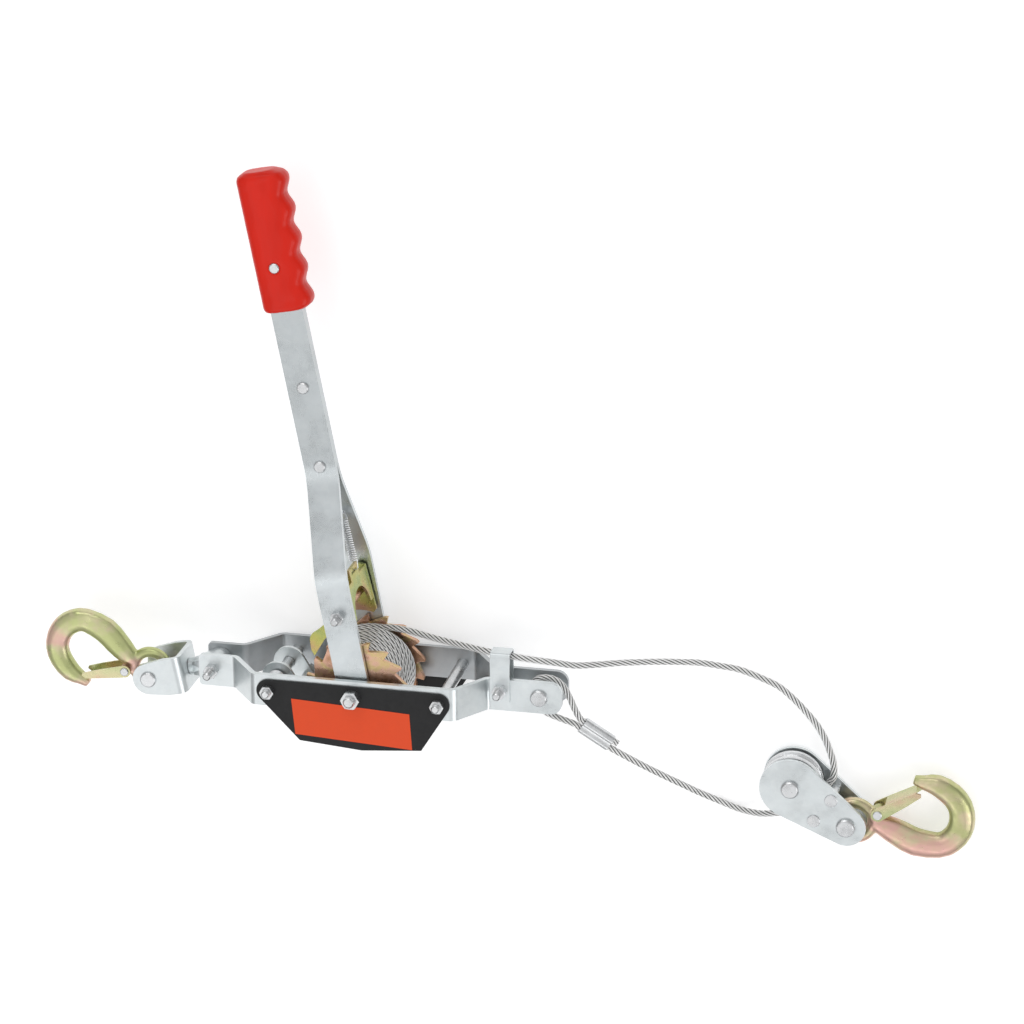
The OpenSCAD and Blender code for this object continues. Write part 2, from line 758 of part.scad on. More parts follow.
module handle_strap() {
    intersection() {
        rotate([0, 0, 90]) bent_bar(strap_path, strap_t, strap_w + 2);
        linear_extrude(fork_half_w + 2) difference() {
            union() {
                circle(strap_w / 2);
                translate([-strap_w / 2, 0]) square([strap_w, strap_top + 2]);
            }
            circle(axle_d / 2 + run_fit);
            translate([0, pawl_pivot_s]) circle(pawl_bolt_d / 2 + bolt_fit);
            for (s = rivet_s) translate([0, s]) circle(3 + bolt_fit);
            translate([0, grip_rivet_s]) circle(3 + bolt_fit);
        }
    }
}

module front_strap() {
    color("silver") in_handle() handle_strap();
}

module rear_strap() {
    color("silver") in_handle() mirror([0, 0, 1]) difference() {
        handle_strap();
        translate([spring_hole_t, spring_hole_s, 0]) cylinder(h = 60, r = 1.5);
    }
}

module strap_rivets() {
    color("gainsboro") in_handle()
        for (s = rivet_s) translate([0, s, 0]) headed_pin(6, strap_t, 4.6, 2);
}

// Moulded grip: a loft of rounded sections with finger hollows along its load side
hollow_count = 4;
ridge_margin = [7.3, 8.5];
rim_l = [11.5, 12];
rim_h = 0.55;
grip_rings = 41;
grip_sides = 20;

// Share of the way from the grip's mouth to its top, and the half sizes there
function ridge_at(f) =
    let (gap = (grip_l - ridge_margin[0] - ridge_margin[1]) / hollow_count)
    1 + ridge_h * pow(0.5 + 0.5 * cos(360 * (f * grip_l - ridge_margin[0]) / gap), 0.85);
function rim_at(f) =
    let (into = min(f * grip_l - rim_l[0], (1 - f) * grip_l - rim_l[1]))
    rim_h * min(1, max(0, -into / 2.5));
function end_ease(f) = let (from_top = (1 - f) * grip_l) from_top > 6.5 ? 0 : 6.5 - sqrt(max(0, 42.25 - pow(6.5 - from_top, 2)));
function foot_ease(f) = let (into = f * grip_l) into > 3 ? 0 : 3 - sqrt(max(0, 9 - pow(3 - into, 2)));
function grip_ring(i) =
    let (
        f = i / (grip_rings - 1),
        left = -grip_w / 2 - 0.6 + end_ease(f) + 0.5 * foot_ease(f),
        right = grip_w / 2 + ridge_at(f) - end_ease(f) - foot_ease(f),
        half_z = grip_t / 2 - rim_h + rim_at(f) - 0.6 * end_ease(f) - 0.3 * foot_ease(f),
        mid = (left + right) / 2,
        half_x = (right - left) / 2
    )
    [for (k = [0:grip_sides - 1])
        let (
            a = 360 * k / grip_sides,
            cx = cos(a), cz = sin(a),
            x = sign(cx) * pow(abs(cx), 0.62),
            z = sign(cz) * pow(abs(cz), 0.62)
        )
        [mid + half_x * x, grip_from + grip_l * f, half_z * z]];

module loft(rings) {
    m = len(rings);
    n = len(rings[0]);
    points = [for (r = rings) each r];
    walls = [for (i = [0:m - 2], k = [0:n - 1])
        let (a = i * n + k, b = i * n + (k + 1) % n)
        each [[a, a + n, b], [b, a + n, b + n]]];
    caps = concat(
        [for (k = [1:n - 2]) [0, k, k + 1]],
        [for (k = [1:n - 2]) [(m - 1) * n, (m - 1) * n + k + 1, (m - 1) * n + k]]
    );
    polyhedron(points = points, faces = concat(walls, caps), convexity = 6);
}

grip_slot_gap = 0.15;

module grip() {
    color("red") in_handle() difference() {
        loft([for (i = [grip_rings - 1:-1:0]) grip_ring(i)]);
        translate([-strap_w / 2 - grip_slot_gap, grip_from - 1, -strap_t - grip_slot_gap])
            cube([strap_w + 2 * grip_slot_gap, strap_top - grip_from + 1 + grip_slot_gap, 2 * (strap_t + grip_slot_gap)]);
        translate([0, grip_rivet_s, 0]) cylinder(h = 60, r = 3 + bolt_fit, center = true);
        for (s = [-1, 1]) translate([0, grip_rivet_s, s * (grip_t / 2 + 1.2)])
            cylinder(h = 6, r = 4.8, center = true);
    }
}

module grip_rivet() {
    color("gainsboro") in_handle() translate([0, grip_rivet_s, 0])
        headed_pin(6, grip_t / 2 - 1.8, 4, 1.8);
}

// Drive pawl's pivot: bolt, nut and a spacer tube between the cheeks
module pawl_bolt() {
    head_h = 0.66 * pawl_bolt_d;
    color("gainsboro") in_handle() translate([0, pawl_pivot_s, -fork_half_w - head_h])
        hex_bolt(pawl_bolt_d, head_h, 2 * fork_half_w + head_h + 0.83 * pawl_bolt_d + pawl_tail);
}

module pawl_nut() {
    color("gainsboro") in_handle() translate([0, pawl_pivot_s, fork_half_w])
        hex_nut(pawl_bolt_d, 0.83 * pawl_bolt_d, pawl_bolt_d / 2 + run_fit);
}

module pawl_spacer() {
    color("tan") in_handle() translate([0, pawl_pivot_s, 0])
        ring(pawl_spacer_d / 2, pawl_bolt_d / 2 + bolt_fit, -cheek_in_z + 0.1, cheek_in_z - 0.1);
}

// Height of the fork's middle plane at distance s from the axle, between its bends
function fork_z(s) =
    strap_t / 2 + (fork_upper_bend - s) / (fork_upper_bend - fork_lower_bend) * (fork_mid_z - strap_t / 2);

// Extension spring: hooked in the drive pawl's slot below and in the rear strap's hole above
spring_curls = 19;
spring_coil_r = 2.7;
spring_low = [8.2, 91.8, -3];
spring_high = [4.6, 122.5, 6.2 - fork_z(spring_hole_s)];
function coil_at(a, b, r, f, angle) =
    let (d = unit(b - a), u = unit(cross([0, 0, 1], d)), v = cross(d, u))
    a + (b - a) * f + r * (cos(angle) * u + sin(angle) * v);
function spring_points() =
    let (steps = spring_curls * 8)
    concat(
        [[4.2, 84.6, -3], [6.2, 84.8, -3], [8.6, 84.9, -3], [10.1, 86, -3], [10.4, 88.4, -3], [10.6, 90.4, -3]],
        [for (i = [0:steps]) coil_at(spring_low, spring_high, spring_coil_r, i / steps, 180 - 45 * i)],
        [
            [spring_hole_t + 2.2, spring_hole_s - 2.6, 3.6 - fork_z(spring_hole_s)],
            [spring_hole_t + 0.6, spring_hole_s - 0.6, 1.6 - fork_z(spring_hole_s)],
            [spring_hole_t, spring_hole_s, -0.6 - fork_z(spring_hole_s)],
            [spring_hole_t, spring_hole_s, -4.2 - fork_z(spring_hole_s)]
        ]
    );

module pawl_spring() {
    points = spring_points();
    color("darkgray") in_handle() tube(points, spring_wire_d / 2, 6);
    echo(pawl_spring_self_gap = self_gap([for (i = [6:len(points) - 5]) points[i]], 5, spring_wire_d / 2));
}

// ---------------------------------------------------------------- pawls

// The drive pawl's cheek in the handle's frame, in mesh, about the pivot at [0, pawl_pivot_s]
under_r = wheel_r + tip_clear + 0.8;
nose_tip = [-21.6, 27.2];
cheek_right = [[5.3, 81.1], [12.8, 45.6]];
cheek_outline = concat(
    cheek_right,
    arc([0, 0], under_r, 76, 106, 6),
    [[-15.2, 37.6], nose_tip, [-23.9, 31.5]],
    arc([-16.5, 39.5], 8.2, 190, 110, 5),
    [[-9, 56], [-6.5, 68], [-4.5, 76]],
    arc([0.6, 77], 5, 150, 80, 3)
);

module drive_cheek() {
    linear_extrude(pawl_t, center = true) difference() {
        polygon(cheek_outline);
        translate([0, pawl_pivot_s]) circle(pawl_bolt_d / 2 + run_fit);
    }
}

// The web joins the cheeks along their load side, with an arch over the pivot and a slotted tab
module drive_web() {
    foot = cheek_right[0];
    lean = heading(cheek_right[0] - cheek_right[1]);
    half = cheek_in_z + 0.5;
    translate([foot[0], foot[1], 0]) rotate([0, 0, lean]) translate([-0.3, 2.7, 0]) rotate([90, 0, 0])
        linear_extrude(2.4) difference() {
            union() {
                translate([-27, -half]) square([27, 2 * half]);
                translate([-3, -11]) square([12, 22]);
            }
            translate([-28.5, 0]) circle(20);
            translate([5, 0]) square([2, 12], center = true);
        }
}

module drive_pawl() {
    color("yellowgreen") in_handle()
        translate([0, pawl_pivot_s, 0]) rotate([0, 0, -drive_lift]) translate([0, -pawl_pivot_s, 0]) {
            for (s = [-1, 1]) translate([0, 0, s * cheek_mid_z]) drive_cheek();
            drive_web();
        }
}

// The holding pawl: a slab across both wheels, carried by two ears on the anchor side's cross spacer.
// Its frame has the pivot at the origin and the arm along X.
hold_boss_r = 12.5;
hold_ear_z = [14, 17];
hold_angle = -22.5;  // angle of the arm when it is in mesh
hold_reach = 35;     // from the pivot to the biting edge
hold_half_w = wheel_out_z;
hold_slab_t = 5.2;

module holding_ear() {
    top = [24, hold_slab_t / 2];
    low = [24, -hold_slab_t / 2];
    difference() {
        union() {
            circle(hold_boss_r);
            polygon([
                [0, 0],
                tangent_point([0, 0], hold_boss_r, low, -1),
                low,
                top,
                tangent_point([0, 0], hold_boss_r, top, 1)
            ]);
        }
        circle(cross_spacer_d / 2 + run_fit);
    }
}

module holding_pawl() {
    half = hold_slab_t / 2;
    color("silver") at_middle() translate([-anchor_cross_x, 0, 0]) rotate([0, 0, hold_angle - hold_lift]) {
        for (s = [0, 1]) mirror([0, 0, s]) translate([0, 0, hold_ear_z[0]])
            linear_extrude(hold_ear_z[1] - hold_ear_z[0]) holding_ear();
        difference() {
            linear_extrude(2 * hold_half_w, center = true) polygon([
                [14, -half],
                [hold_reach - 2.7, -half],
                [hold_reach, 0],
                [hold_reach - 4.3, half],
                [14, half]
            ]);
            translate([hold_reach - 5, -10, -drum_half_l + 1]) cube([20, 20, 2 * drum_half_l - 2]);
        }
    }
}

// Torsion spring round the cross spacer, between the front ear and the front plate
hold_wire_d = 1.6;
hold_coil_r = cross_spacer_d / 2 + 1.1 + hold_wire_d / 2;
hold_curls = 6;
hold_room = [hold_ear_z[1] + 0.9 + hold_wire_d / 2, plate_half_gap - 3 - hold_wire_d / 2];
function hold_spring_points() =
    let (
        steps = hold_curls * 8 + 3,
        rise = hold_room[1] - hold_room[0],
        a0 = hold_angle - hold_lift - 90,
        at = function (i) [hold_coil_r * cos(a0 - 45 * i), hold_coil_r * sin(a0 - 45 * i), hold_room[0] + rise * i / steps],
        d0 = [cos(a0 + 90), sin(a0 + 90), 0],
        a1 = a0 - 45 * steps,
        d1 = [sin(a1), -cos(a1), 0]
    )
    concat(
        [at(0) + 17 * d0, at(0) + 6 * d0],
        [for (i = [0:steps]) at(i)],
        [at(steps) + 4 * d1, at(steps) + 10 * d1]
    );

module holding_spring() {
    points = hold_spring_points();
    color("darkgray") at_middle() translate([-anchor_cross_x, 0, 0]) tube(points, hold_wire_d / 2, 6);
    echo(holding_spring_self_gap = self_gap([for (i = [2:len(points) - 3]) points[i]], 5, hold_wire_d / 2));
}

// ---------------------------------------------------------------- swivel and clevis

stud_eye_r = 9.5;
stud_head_r = 8;
stud_head_h = 5;
base_inner_x = clevis_reach - 24;
base_outer_x = base_inner_x - clevis_t;

// Flat eye on the swivel bolt, round stud through the clevis base, head inside the clevis
module swivel_stud() {
    color("silver") in_swivel() difference() {
        union() {
            hull() {
                cylinder(h = 2 * (neck_half_gap - touch_gap), r = stud_eye_r, center = true);
                translate([base_outer_x - 5, 0, 0]) cube([2, 10.4, 12], center = true);
            }
            rotate([0, 90, 0]) cylinder(h = base_outer_x - 0.3, r = stud_d / 2 + 2);
            rotate([0, 90, 0]) cylinder(h = base_inner_x + 2, r = stud_d / 2);
            translate([base_inner_x + touch_gap, 0, 0]) rotate([0, 90, 0])
                rotate_extrude() polygon([[0, 0], [stud_head_r, 0], [stud_head_r, 0.6 * stud_head_h],
                    [stud_head_r - 2, stud_head_h], [0, stud_head_h]]);
        }
        cylinder(h = 40, r = small_bolt_d / 2 + run_fit, center = true);
    }
}

// U-shaped clevis, bent from flat bar, with rounded ends about its pin
module clevis() {
    mid = clevis_half_gap + clevis_t / 2;
    end_r = 12.5;
    path = [[clevis_reach + end_r, -mid], [base_inner_x - clevis_t / 2, -mid],
        [base_inner_x - clevis_t / 2, mid], [clevis_reach + end_r, mid]];
    color("silver") in_swivel() difference() {
        intersection() {
            rotate([90, 0, 0]) linear_extrude(clevis_w + 2, center = true)
                polygon(bar_outline(bent(path, 5), clevis_t));
            linear_extrude(4 * mid, center = true) hull() {
                translate([base_outer_x - 1, -clevis_w / 2]) square([clevis_reach - 12.5 - base_outer_x, clevis_w]);
                translate([clevis_reach, 0]) circle(end_r);
            }
        }
        translate([clevis_reach, 0, 0]) cylinder(h = 6 * mid, r = hook_pin_d / 2 + bolt_fit, center = true);
        rotate([0, 90, 0]) cylinder(h = base_inner_x + 3, r = stud_d / 2 + run_fit);
    }
}

module clevis_pin() {
    color("gainsboro") in_swivel() translate([clevis_reach, 0, 0])
        headed_pin(hook_pin_d, clevis_half_gap + clevis_t, hook_pin_d / 2 + 1.2, 2.2);
}

// ---------------------------------------------------------------- hooks

// Middle line of the hook's body with its half width: shank, bowl and point
hook_half_w = hook_body_w / 2;
bowl_mid_r = bowl_r + hook_half_w;
bowl_c = [hook_reach, -0.8];
hook_line = concat(
    [
        [eye_ring_r, -1, 0.62 * hook_half_w],
        [eye_ring_r + 8, -5.5, 0.88 * hook_half_w],
        [0.56 * hook_reach, -0.55 * bowl_mid_r, 1.06 * hook_half_w],
        [0.76 * hook_reach, -0.88 * bowl_mid_r, 1.12 * hook_half_w]
    ],
    [for (a = [-82:26:48])
        let (grow = max(0, (a + 10) / 58), r = bowl_mid_r + 2.2 * grow)
        [bowl_c[0] + r * cos(a), bowl_c[1] + r * sin(a), hook_half_w * (1 - 0.06 * grow)]],
    [
        [hook_reach + 6.5, 25.8, 0.82 * hook_half_w],
        [hook_reach - 3, 28.4, 0.56 * hook_half_w],
        [hook_reach - 10, 31.2, 0.34 * hook_half_w]
    ]
);

// Smooth points between the stations, k per station
function spline_at(a, b, c, d, f) =
    0.5 * (2 * b + (c - a) * f + (2 * a - 5 * b + 4 * c - d) * f * f + (3 * b - a - 3 * c + d) * f * f * f);
function smooth(p, k) = [
    for (i = [0:len(p) - 2], j = [0:k - 1])
        spline_at(p[max(0, i - 1)], p[i], p[i + 1], p[min(len(p) - 1, i + 2)], j / k),
    p[len(p) - 1]
];
hook_path = smooth(hook_line, 2);
hook_sides = 14;
function hook_ring(i) =
    let (
        flat = [for (q = hook_path) [q[0], q[1]]],
        n = path_normal(flat, i),
        w = hook_path[i][2],
        f = i / (len(hook_path) - 1),
        t = hook_body_t / 2 * (f > 0.82 ? 1 - 2.6 * (f - 0.82) : f < 0.12 ? 0.72 + 2.33 * f : 1)
    )
    [for (k = [0:hook_sides - 1])
        let (
            a = 360 * k / hook_sides,
            c = sign(cos(a)) * pow(abs(cos(a)), 0.8),
            s = sign(sin(a)) * pow(abs(sin(a)), 0.8)
        )
        [flat[i][0] + n[0] * w * c, flat[i][1] + n[1] * w * c, t * s]];

module eye_hook() {
    difference() {
        union() {
            rotate_extrude() translate([eye_ring_r, 0]) circle(eye_bar_d / 2, $fn = 32);
            loft([for (i = [0:len(hook_path) - 1]) hook_ring(i)]);
            translate([latch_pivot[0], latch_pivot[1], 0])
                cylinder(h = latch_boss_t, r = 4.6, center = true);
        }
        cylinder(h = 40, r = eye_hole_r, center = true);
        translate([latch_pivot[0], latch_pivot[1], 0])
            cylinder(h = 40, r = latch_rivet_d / 2 + bolt_fit, center = true);
    }
}

// Sprung sheet latch: two cheeks beside the hook and a web that closes the mouth
latch_tip = [hook_reach - 4.6, 21.5];
latch_half_in = hook_body_t / 2 + 0.4;
latch_l = norm(latch_tip - latch_pivot);
latch_lean = heading(latch_tip - latch_pivot);

module latch() {
    cheek = [
        [0, -5], [0.62 * latch_l, -3.2], [latch_l - 1, -1.5], [latch_l, 0.6], [latch_l - 3, 3.4], [2, 5]
    ];
    translate([latch_pivot[0], latch_pivot[1], 0]) rotate([0, 0, latch_lean]) difference() {
        union() {
            for (s = [0, 1]) mirror([0, 0, s]) translate([0, 0, latch_half_in])
                linear_extrude(latch_sheet_t) {
                    polygon(cheek);
                    circle(5);
                }
            translate([0, 0, -latch_half_in - 0.2]) linear_extrude(2 * latch_half_in + 0.4)
                polygon([[9, 4.65], [latch_l - 3, 3.4], [latch_l - 3.2, 2], [9, 3.2]]);
        }
        cylinder(h = 60, r = latch_rivet_d / 2 + run_fit, center = true);
    }
}

module latch_rivet() {
    translate([latch_pivot[0], latch_pivot[1], 0])
        headed_pin(latch_rivet_d, latch_half_in + latch_sheet_t, latch_rivet_d / 2 + 1.6, 1.2);
}

// Small torsion spring on the rivet, between the hook's boss and one cheek
latch_wire_d = 0.6;
latch_curls = 1.5;
function latch_spring_points() =
    let (
        r = latch_rivet_d / 2 + 0.2 + latch_wire_d / 2,
        z0 = latch_boss_t / 2 + 0.15 + latch_wire_d / 2,
        steps = 8 * latch_curls,
        at = function (i) [r * cos(45 * i + latch_lean), r * sin(45 * i + latch_lean),
            z0 + (latch_half_in - latch_wire_d - 0.3 - latch_boss_t / 2) * i / steps]
    )
    [for (i = [0:steps]) at(i)];

module latch_spring() {
    translate([latch_pivot[0], latch_pivot[1], 0]) tube(latch_spring_points(), latch_wire_d / 2, 6);
}

module anchor_hook() {
    color("darkkhaki") in_anchor_hook() eye_hook();
}

module anchor_latch() {
    color("khaki") in_anchor_hook() latch();
}

module anchor_latch_rivet() {
    color("gainsboro") in_anchor_hook() latch_rivet();
}

module anchor_latch_spring() {
    color("darkgray") in_anchor_hook() latch_spring();
}

module load_hook() {
    color("darkkhaki") in_load_hook() eye_hook();
}

module load_latch() {
    color("khaki") in_load_hook() latch();
}

module load_latch_rivet() {
    color("gainsboro") in_load_hook() latch_rivet();
}

module load_latch_spring() {
    color("darkgray") in_load_hook() latch_spring();
}

// ---------------------------------------------------------------- pulley block

// Teardrop outline: two circles and the quadrilateral between their common tangents
module block_outline() {
    lean = acos((block_big_r - block_small_r) / block_pin_gap);
    difference() {
        union() {
            circle(block_big_r);
            translate([block_pin_gap, 0]) circle(block_small_r);
            polygon([
                block_big_r * [cos(lean), sin(lean)],
                block_big_r * [cos(lean), -sin(lean)],
                [block_pin_gap, 0] + block_small_r * [cos(lean), -sin(lean)],
                [block_pin_gap, 0] + block_small_r * [cos(lean), sin(lean)]
            ]);
        }
        circle(sheave_pin_d / 2 + bolt_fit);
        translate([block_pin_gap, 0]) circle(hook_pin_d / 2 + bolt_fit);
        for (p = spacer_spots) translate(p) circle(2.5 + bolt_fit);
    }
}

module block_front_plate() {
    color("silver") in_block() translate([0, 0, block_in_z]) linear_extrude(block_plate_t) block_outline();
}

module block_rear_plate() {
    color("silver") in_block() translate([0, 0, -block_w / 2]) linear_extrude(block_plate_t) block_outline();
}

// Grooved wheel, turned about its pin
module sheave() {
    rim_r = sheave_pitch_r;
    groove_r = rope_r + 0.15;
    color("gainsboro") in_block() difference() {
        rotate_extrude() polygon([
            [sheave_pin_d / 2 + run_fit, -sheave_w / 2],
            [rim_r - 0.6, -sheave_w / 2],
            [rim_r, -sheave_w / 2 + 0.6],
            [rim_r, -groove_r],
            each arc([sheave_pitch_r, 0], groove_r, 270, 90, 12),
            [rim_r, groove_r],
            [rim_r, sheave_w / 2 - 0.6],
            [rim_r - 0.6, sheave_w / 2],
            [sheave_pin_d / 2 + run_fit, sheave_w / 2]
        ]);
    }
}

module sheave_pin() {
    color("gainsboro") in_block() headed_pin(sheave_pin_d, block_w / 2, 7, pin_head_h);
}

module hook_pin() {
    color("gainsboro") in_block() translate([block_pin_gap, 0, 0])
        headed_pin(hook_pin_d, block_w / 2, 7.4, pin_head_h);
}

// Shouldered rivets that hold the plates apart and keep the rope on the sheave
module block_spacers() {
    color("gainsboro") in_block() for (p = spacer_spots) translate(p) {
        cylinder(h = 2 * block_in_z, r = spacer_d / 2, center = true);
        headed_pin(5, block_w / 2, 5, 0.8);
    }
}

// ---------------------------------------------------------------- what is drawn

front_plate();
rear_plate();
front_guard();
rear_guard();
label_panel();
axle_bolt();
axle_nut();
axle_washers();
cross_bolts();
cross_nuts();
cross_spacers();
guide_clip();
guide_bolt();
guide_nut();
rope_pin();
swivel_bolt();
swivel_nut();
rope_pull_run();
rope_return_run();
rope_eye_loop();
rope_ferrule();
drum_tube();
front_ratchet();
rear_ratchet();
rope_inner_layers();
rope_winding();
front_strap();
rear_strap();
strap_rivets();
grip();
grip_rivet();
pawl_bolt();
pawl_nut();
pawl_spacer();
pawl_spring();
drive_pawl();
holding_pawl();
holding_spring();
swivel_stud();
clevis();
clevis_pin();
anchor_hook();
anchor_latch();
anchor_latch_rivet();
anchor_latch_spring();
block_front_plate();
block_rear_plate();
sheave();
sheave_pin();
block_spacers();
hook_pin();
rope_block_turn();
load_hook();
load_latch();
load_latch_rivet();
load_latch_spring();
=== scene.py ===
"""Dressed model of a hand ratchet puller: winch, lever, doubled wire rope, pulley block and hooks."""

from __future__ import annotations

import json
import logging
import math
from contextlib import contextmanager
from dataclasses import dataclass, field
from enum import Enum
from typing import Callable, Iterator, Sequence

import bpy  # noqa: E402
from mathutils import Matrix, Vector  # noqa: E402

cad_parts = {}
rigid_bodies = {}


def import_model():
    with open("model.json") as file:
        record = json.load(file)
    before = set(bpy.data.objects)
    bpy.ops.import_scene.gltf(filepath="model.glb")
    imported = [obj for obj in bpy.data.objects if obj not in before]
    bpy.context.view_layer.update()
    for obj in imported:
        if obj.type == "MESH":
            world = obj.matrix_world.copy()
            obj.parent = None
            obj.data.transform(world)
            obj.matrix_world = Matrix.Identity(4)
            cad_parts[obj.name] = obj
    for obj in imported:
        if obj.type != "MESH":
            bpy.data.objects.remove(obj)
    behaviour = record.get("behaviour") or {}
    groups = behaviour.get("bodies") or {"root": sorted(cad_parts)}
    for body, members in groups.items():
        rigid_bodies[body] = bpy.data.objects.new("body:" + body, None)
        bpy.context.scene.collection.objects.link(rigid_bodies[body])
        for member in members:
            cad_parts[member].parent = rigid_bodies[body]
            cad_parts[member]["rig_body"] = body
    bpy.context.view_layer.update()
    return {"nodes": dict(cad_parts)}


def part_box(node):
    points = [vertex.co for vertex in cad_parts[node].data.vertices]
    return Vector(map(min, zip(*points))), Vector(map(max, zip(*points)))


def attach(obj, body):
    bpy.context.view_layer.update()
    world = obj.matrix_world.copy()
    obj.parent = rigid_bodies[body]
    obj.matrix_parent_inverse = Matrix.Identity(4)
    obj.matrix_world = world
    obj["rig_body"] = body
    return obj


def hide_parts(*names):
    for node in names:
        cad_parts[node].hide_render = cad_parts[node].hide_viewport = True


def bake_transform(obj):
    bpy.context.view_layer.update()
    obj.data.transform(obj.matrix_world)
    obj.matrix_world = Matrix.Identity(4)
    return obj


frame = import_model()

log = logging.getLogger("come_along")
logging.basicConfig(level=logging.INFO, format="%(name)s: %(message)s")

Socket = bpy.types.NodeSocket
Colour = tuple[float, float, float]
Point = tuple[float, float, float]
Outline = list[tuple[float, float]]

# Metres unless a comment says otherwise
MM = 0.001
MID_Z = 0.04878  # height of the winch's middle plane
MID_MM = MID_Z * 1000  # the same in millimetres
BLOCK_MM = 0.017 * 1000  # height of the pulley block's middle plane, in millimetres
ROPE_D = 0.0052
HANDLE_TILT = 10.7  # degrees by which the lever leans from +Y towards -X
WELD = 0.000004  # CAD points nearer than this are merged
FLAT = math.radians(0.4)  # CAD faces that meet at less than this become one


# ---------------------------------------------------------------- finishes


class Grain(Enum):
    """Which way the rolled grain of a metal runs, as the stretch of its noise along each axis."""

    ALONG_X = (14, 160, 160)
    ALONG_Y = (160, 14, 160)
    EVEN = (24, 24, 24)


class Sheet:
    """A material's node tree with short calls for the nodes that the finishes use."""

    def __init__(self, name: str) -> None:
        """Start an empty material.

        Args:
            name: the material's name.
        """
        self.material = bpy.data.materials.new(name)
        self.material.use_nodes = True
        self.tree = self.material.node_tree
        self.tree.nodes.clear()
        self.shader = self.node("BsdfPrincipled")
        self.node("OutputMaterial", Surface=self.shader.outputs[0])
        self.coords = self.node("TexCoord")

    def node(self, kind: str, **values: object) -> bpy.types.ShaderNode:
        """A new shader node.

        Args:
            kind: its type, without "ShaderNode".
            **values: what goes into the inputs of these names.

        Returns:
            The node.
        """
        node = self.tree.nodes.new("ShaderNode" + kind)
        for name, value in values.items():
            self.plug(node.inputs[name], value)
        return node

    def plug(self, socket: Socket, value: object) -> None:
        """Set a socket to a number or colour, or link it to another socket.

        Args:
            socket: the input.
            value: what goes into it.
        """
        if isinstance(value, Socket):
            self.tree.links.new(value, socket)
        else:
            socket.default_value = value

    def put(self, name: str, value: object) -> None:
        """Set or link one of the shader's inputs."""
        self.plug(self.shader.inputs[name], value)

    def place(self, scale: Sequence[float] = (1, 1, 1)) -> Socket:
        """Object coordinates through a mapping.

        Args:
            scale: stretch along each axis.

        Returns:
            The mapped vector.
        """
        where = self.coords.outputs["Object"]
        return self.node("Mapping", Vector=where, Scale=scale).outputs[0]

    def height(self, axis: int) -> Socket:
        """One Object coordinate in metres.

        Args:
            axis: 0, 1 or 2 for X, Y or Z.

        Returns:
            The value socket.
        """
        return self.node("SeparateXYZ", Vector=self.coords.outputs["Object"]).outputs[axis]

    def noise(
        self, vector: Socket, scale: float, detail: float = 3.0, rough: float = 0.55
    ) -> Socket:
        """Noise factor.

        Args:
            vector: coordinates.
            scale: repeats per metre.
            detail: octaves.
            rough: octave gain.

        Returns:
            The factor socket.
        """
        settings = {"Vector": vector, "Scale": scale, "Detail": detail, "Roughness": rough}
        return self.node("TexNoise", **settings).outputs[0]

    def cells(self, vector: Socket, scale: float) -> Socket:
        """Flat random value per cell.

        Args:
            vector: coordinates.
            scale: cells per metre.

        Returns:
            The colour socket, one value per cell.
        """
        cells = self.node("TexVoronoi", Vector=vector, Scale=scale)
        return self.node("SeparateColor", Color=cells.outputs["Color"]).outputs[0]

    def ramp(self, factor: Socket, stops: Sequence[tuple[float, Colour]]) -> Socket:
        """Colour ramp.

        Args:
            factor: input from 0 to 1.
            stops: places and colours.

        Returns:
            The colour socket.
        """
        node = self.node("ValToRGB", Fac=factor)
        while len(node.color_ramp.elements) < len(stops):
            node.color_ramp.elements.new(0.5)
        for element, (at, colour) in zip(node.color_ramp.elements, stops):
            element.position = at
            element.color = (*colour, 1.0)
        return node.outputs[0]

    def span(
        self, factor: Socket, low: float, high: float, start: float = 0.3, end: float = 0.7
    ) -> Socket:
        """Map a factor from start..end to low..high, clamped.

        Args:
            factor: the value to map.
            low: result at start.
            high: result at end.
            start: where the mapped stretch begins.
            end: where it ends.

        Returns:
            The value socket.
        """
        node = self.node("MapRange")
        for socket, value in zip(node.inputs, (factor, start, end, low, high)):
            self.plug(socket, value)
        return node.outputs[0]

    def mix(self, factor: object, a: object, b: object, blend: str = "MIX") -> Socket:
        """Mix two colours.

        Args:
            factor: number or socket.
            a: first colour.
            b: second colour.
            blend: Blender's blend name.

        Returns:
            The colour socket.
        """
        node = self.node("Mix")
        node.data_type = "RGBA"
        node.blend_type = blend
        self.plug(node.inputs[0], factor)
        self.plug(node.inputs[6], (*a, 1.0) if isinstance(a, tuple) else a)
        self.plug(node.inputs[7], (*b, 1.0) if isinstance(b, tuple) else b)
        return node.outputs[2]

    def math(self, kind: str, a: object, b: object = 0.0) -> Socket:
        """One math step.

        Args:
            kind: operation name.
            a: first value or socket.
            b: second value or socket.

        Returns:
            The value socket.
        """
        node = self.node("Math")
        node.operation = kind
        self.plug(node.inputs[0], a)
        self.plug(node.inputs[1], b)
        return node.outputs[0]

    def bump(
        self, height: Socket, distance: float, strength: float = 1.0, after: Socket | None = None
    ) -> Socket:
        """Bump from a height.

        Args:
            height: the height socket.
            distance: metres for a full step.
            strength: share of the effect.
            after: a normal to add to.

        Returns:
            The normal socket.
        """
        node = self.node("Bump", Strength=strength, Distance=distance, Height=height)
        if after is not None:
            self.plug(node.inputs["Normal"], after)
        return node.outputs[0]


def toned(colour: Colour, gain: float) -> Colour:
    """A colour made darker or lighter."""
    return tuple(min(1.0, c * gain) for c in colour)


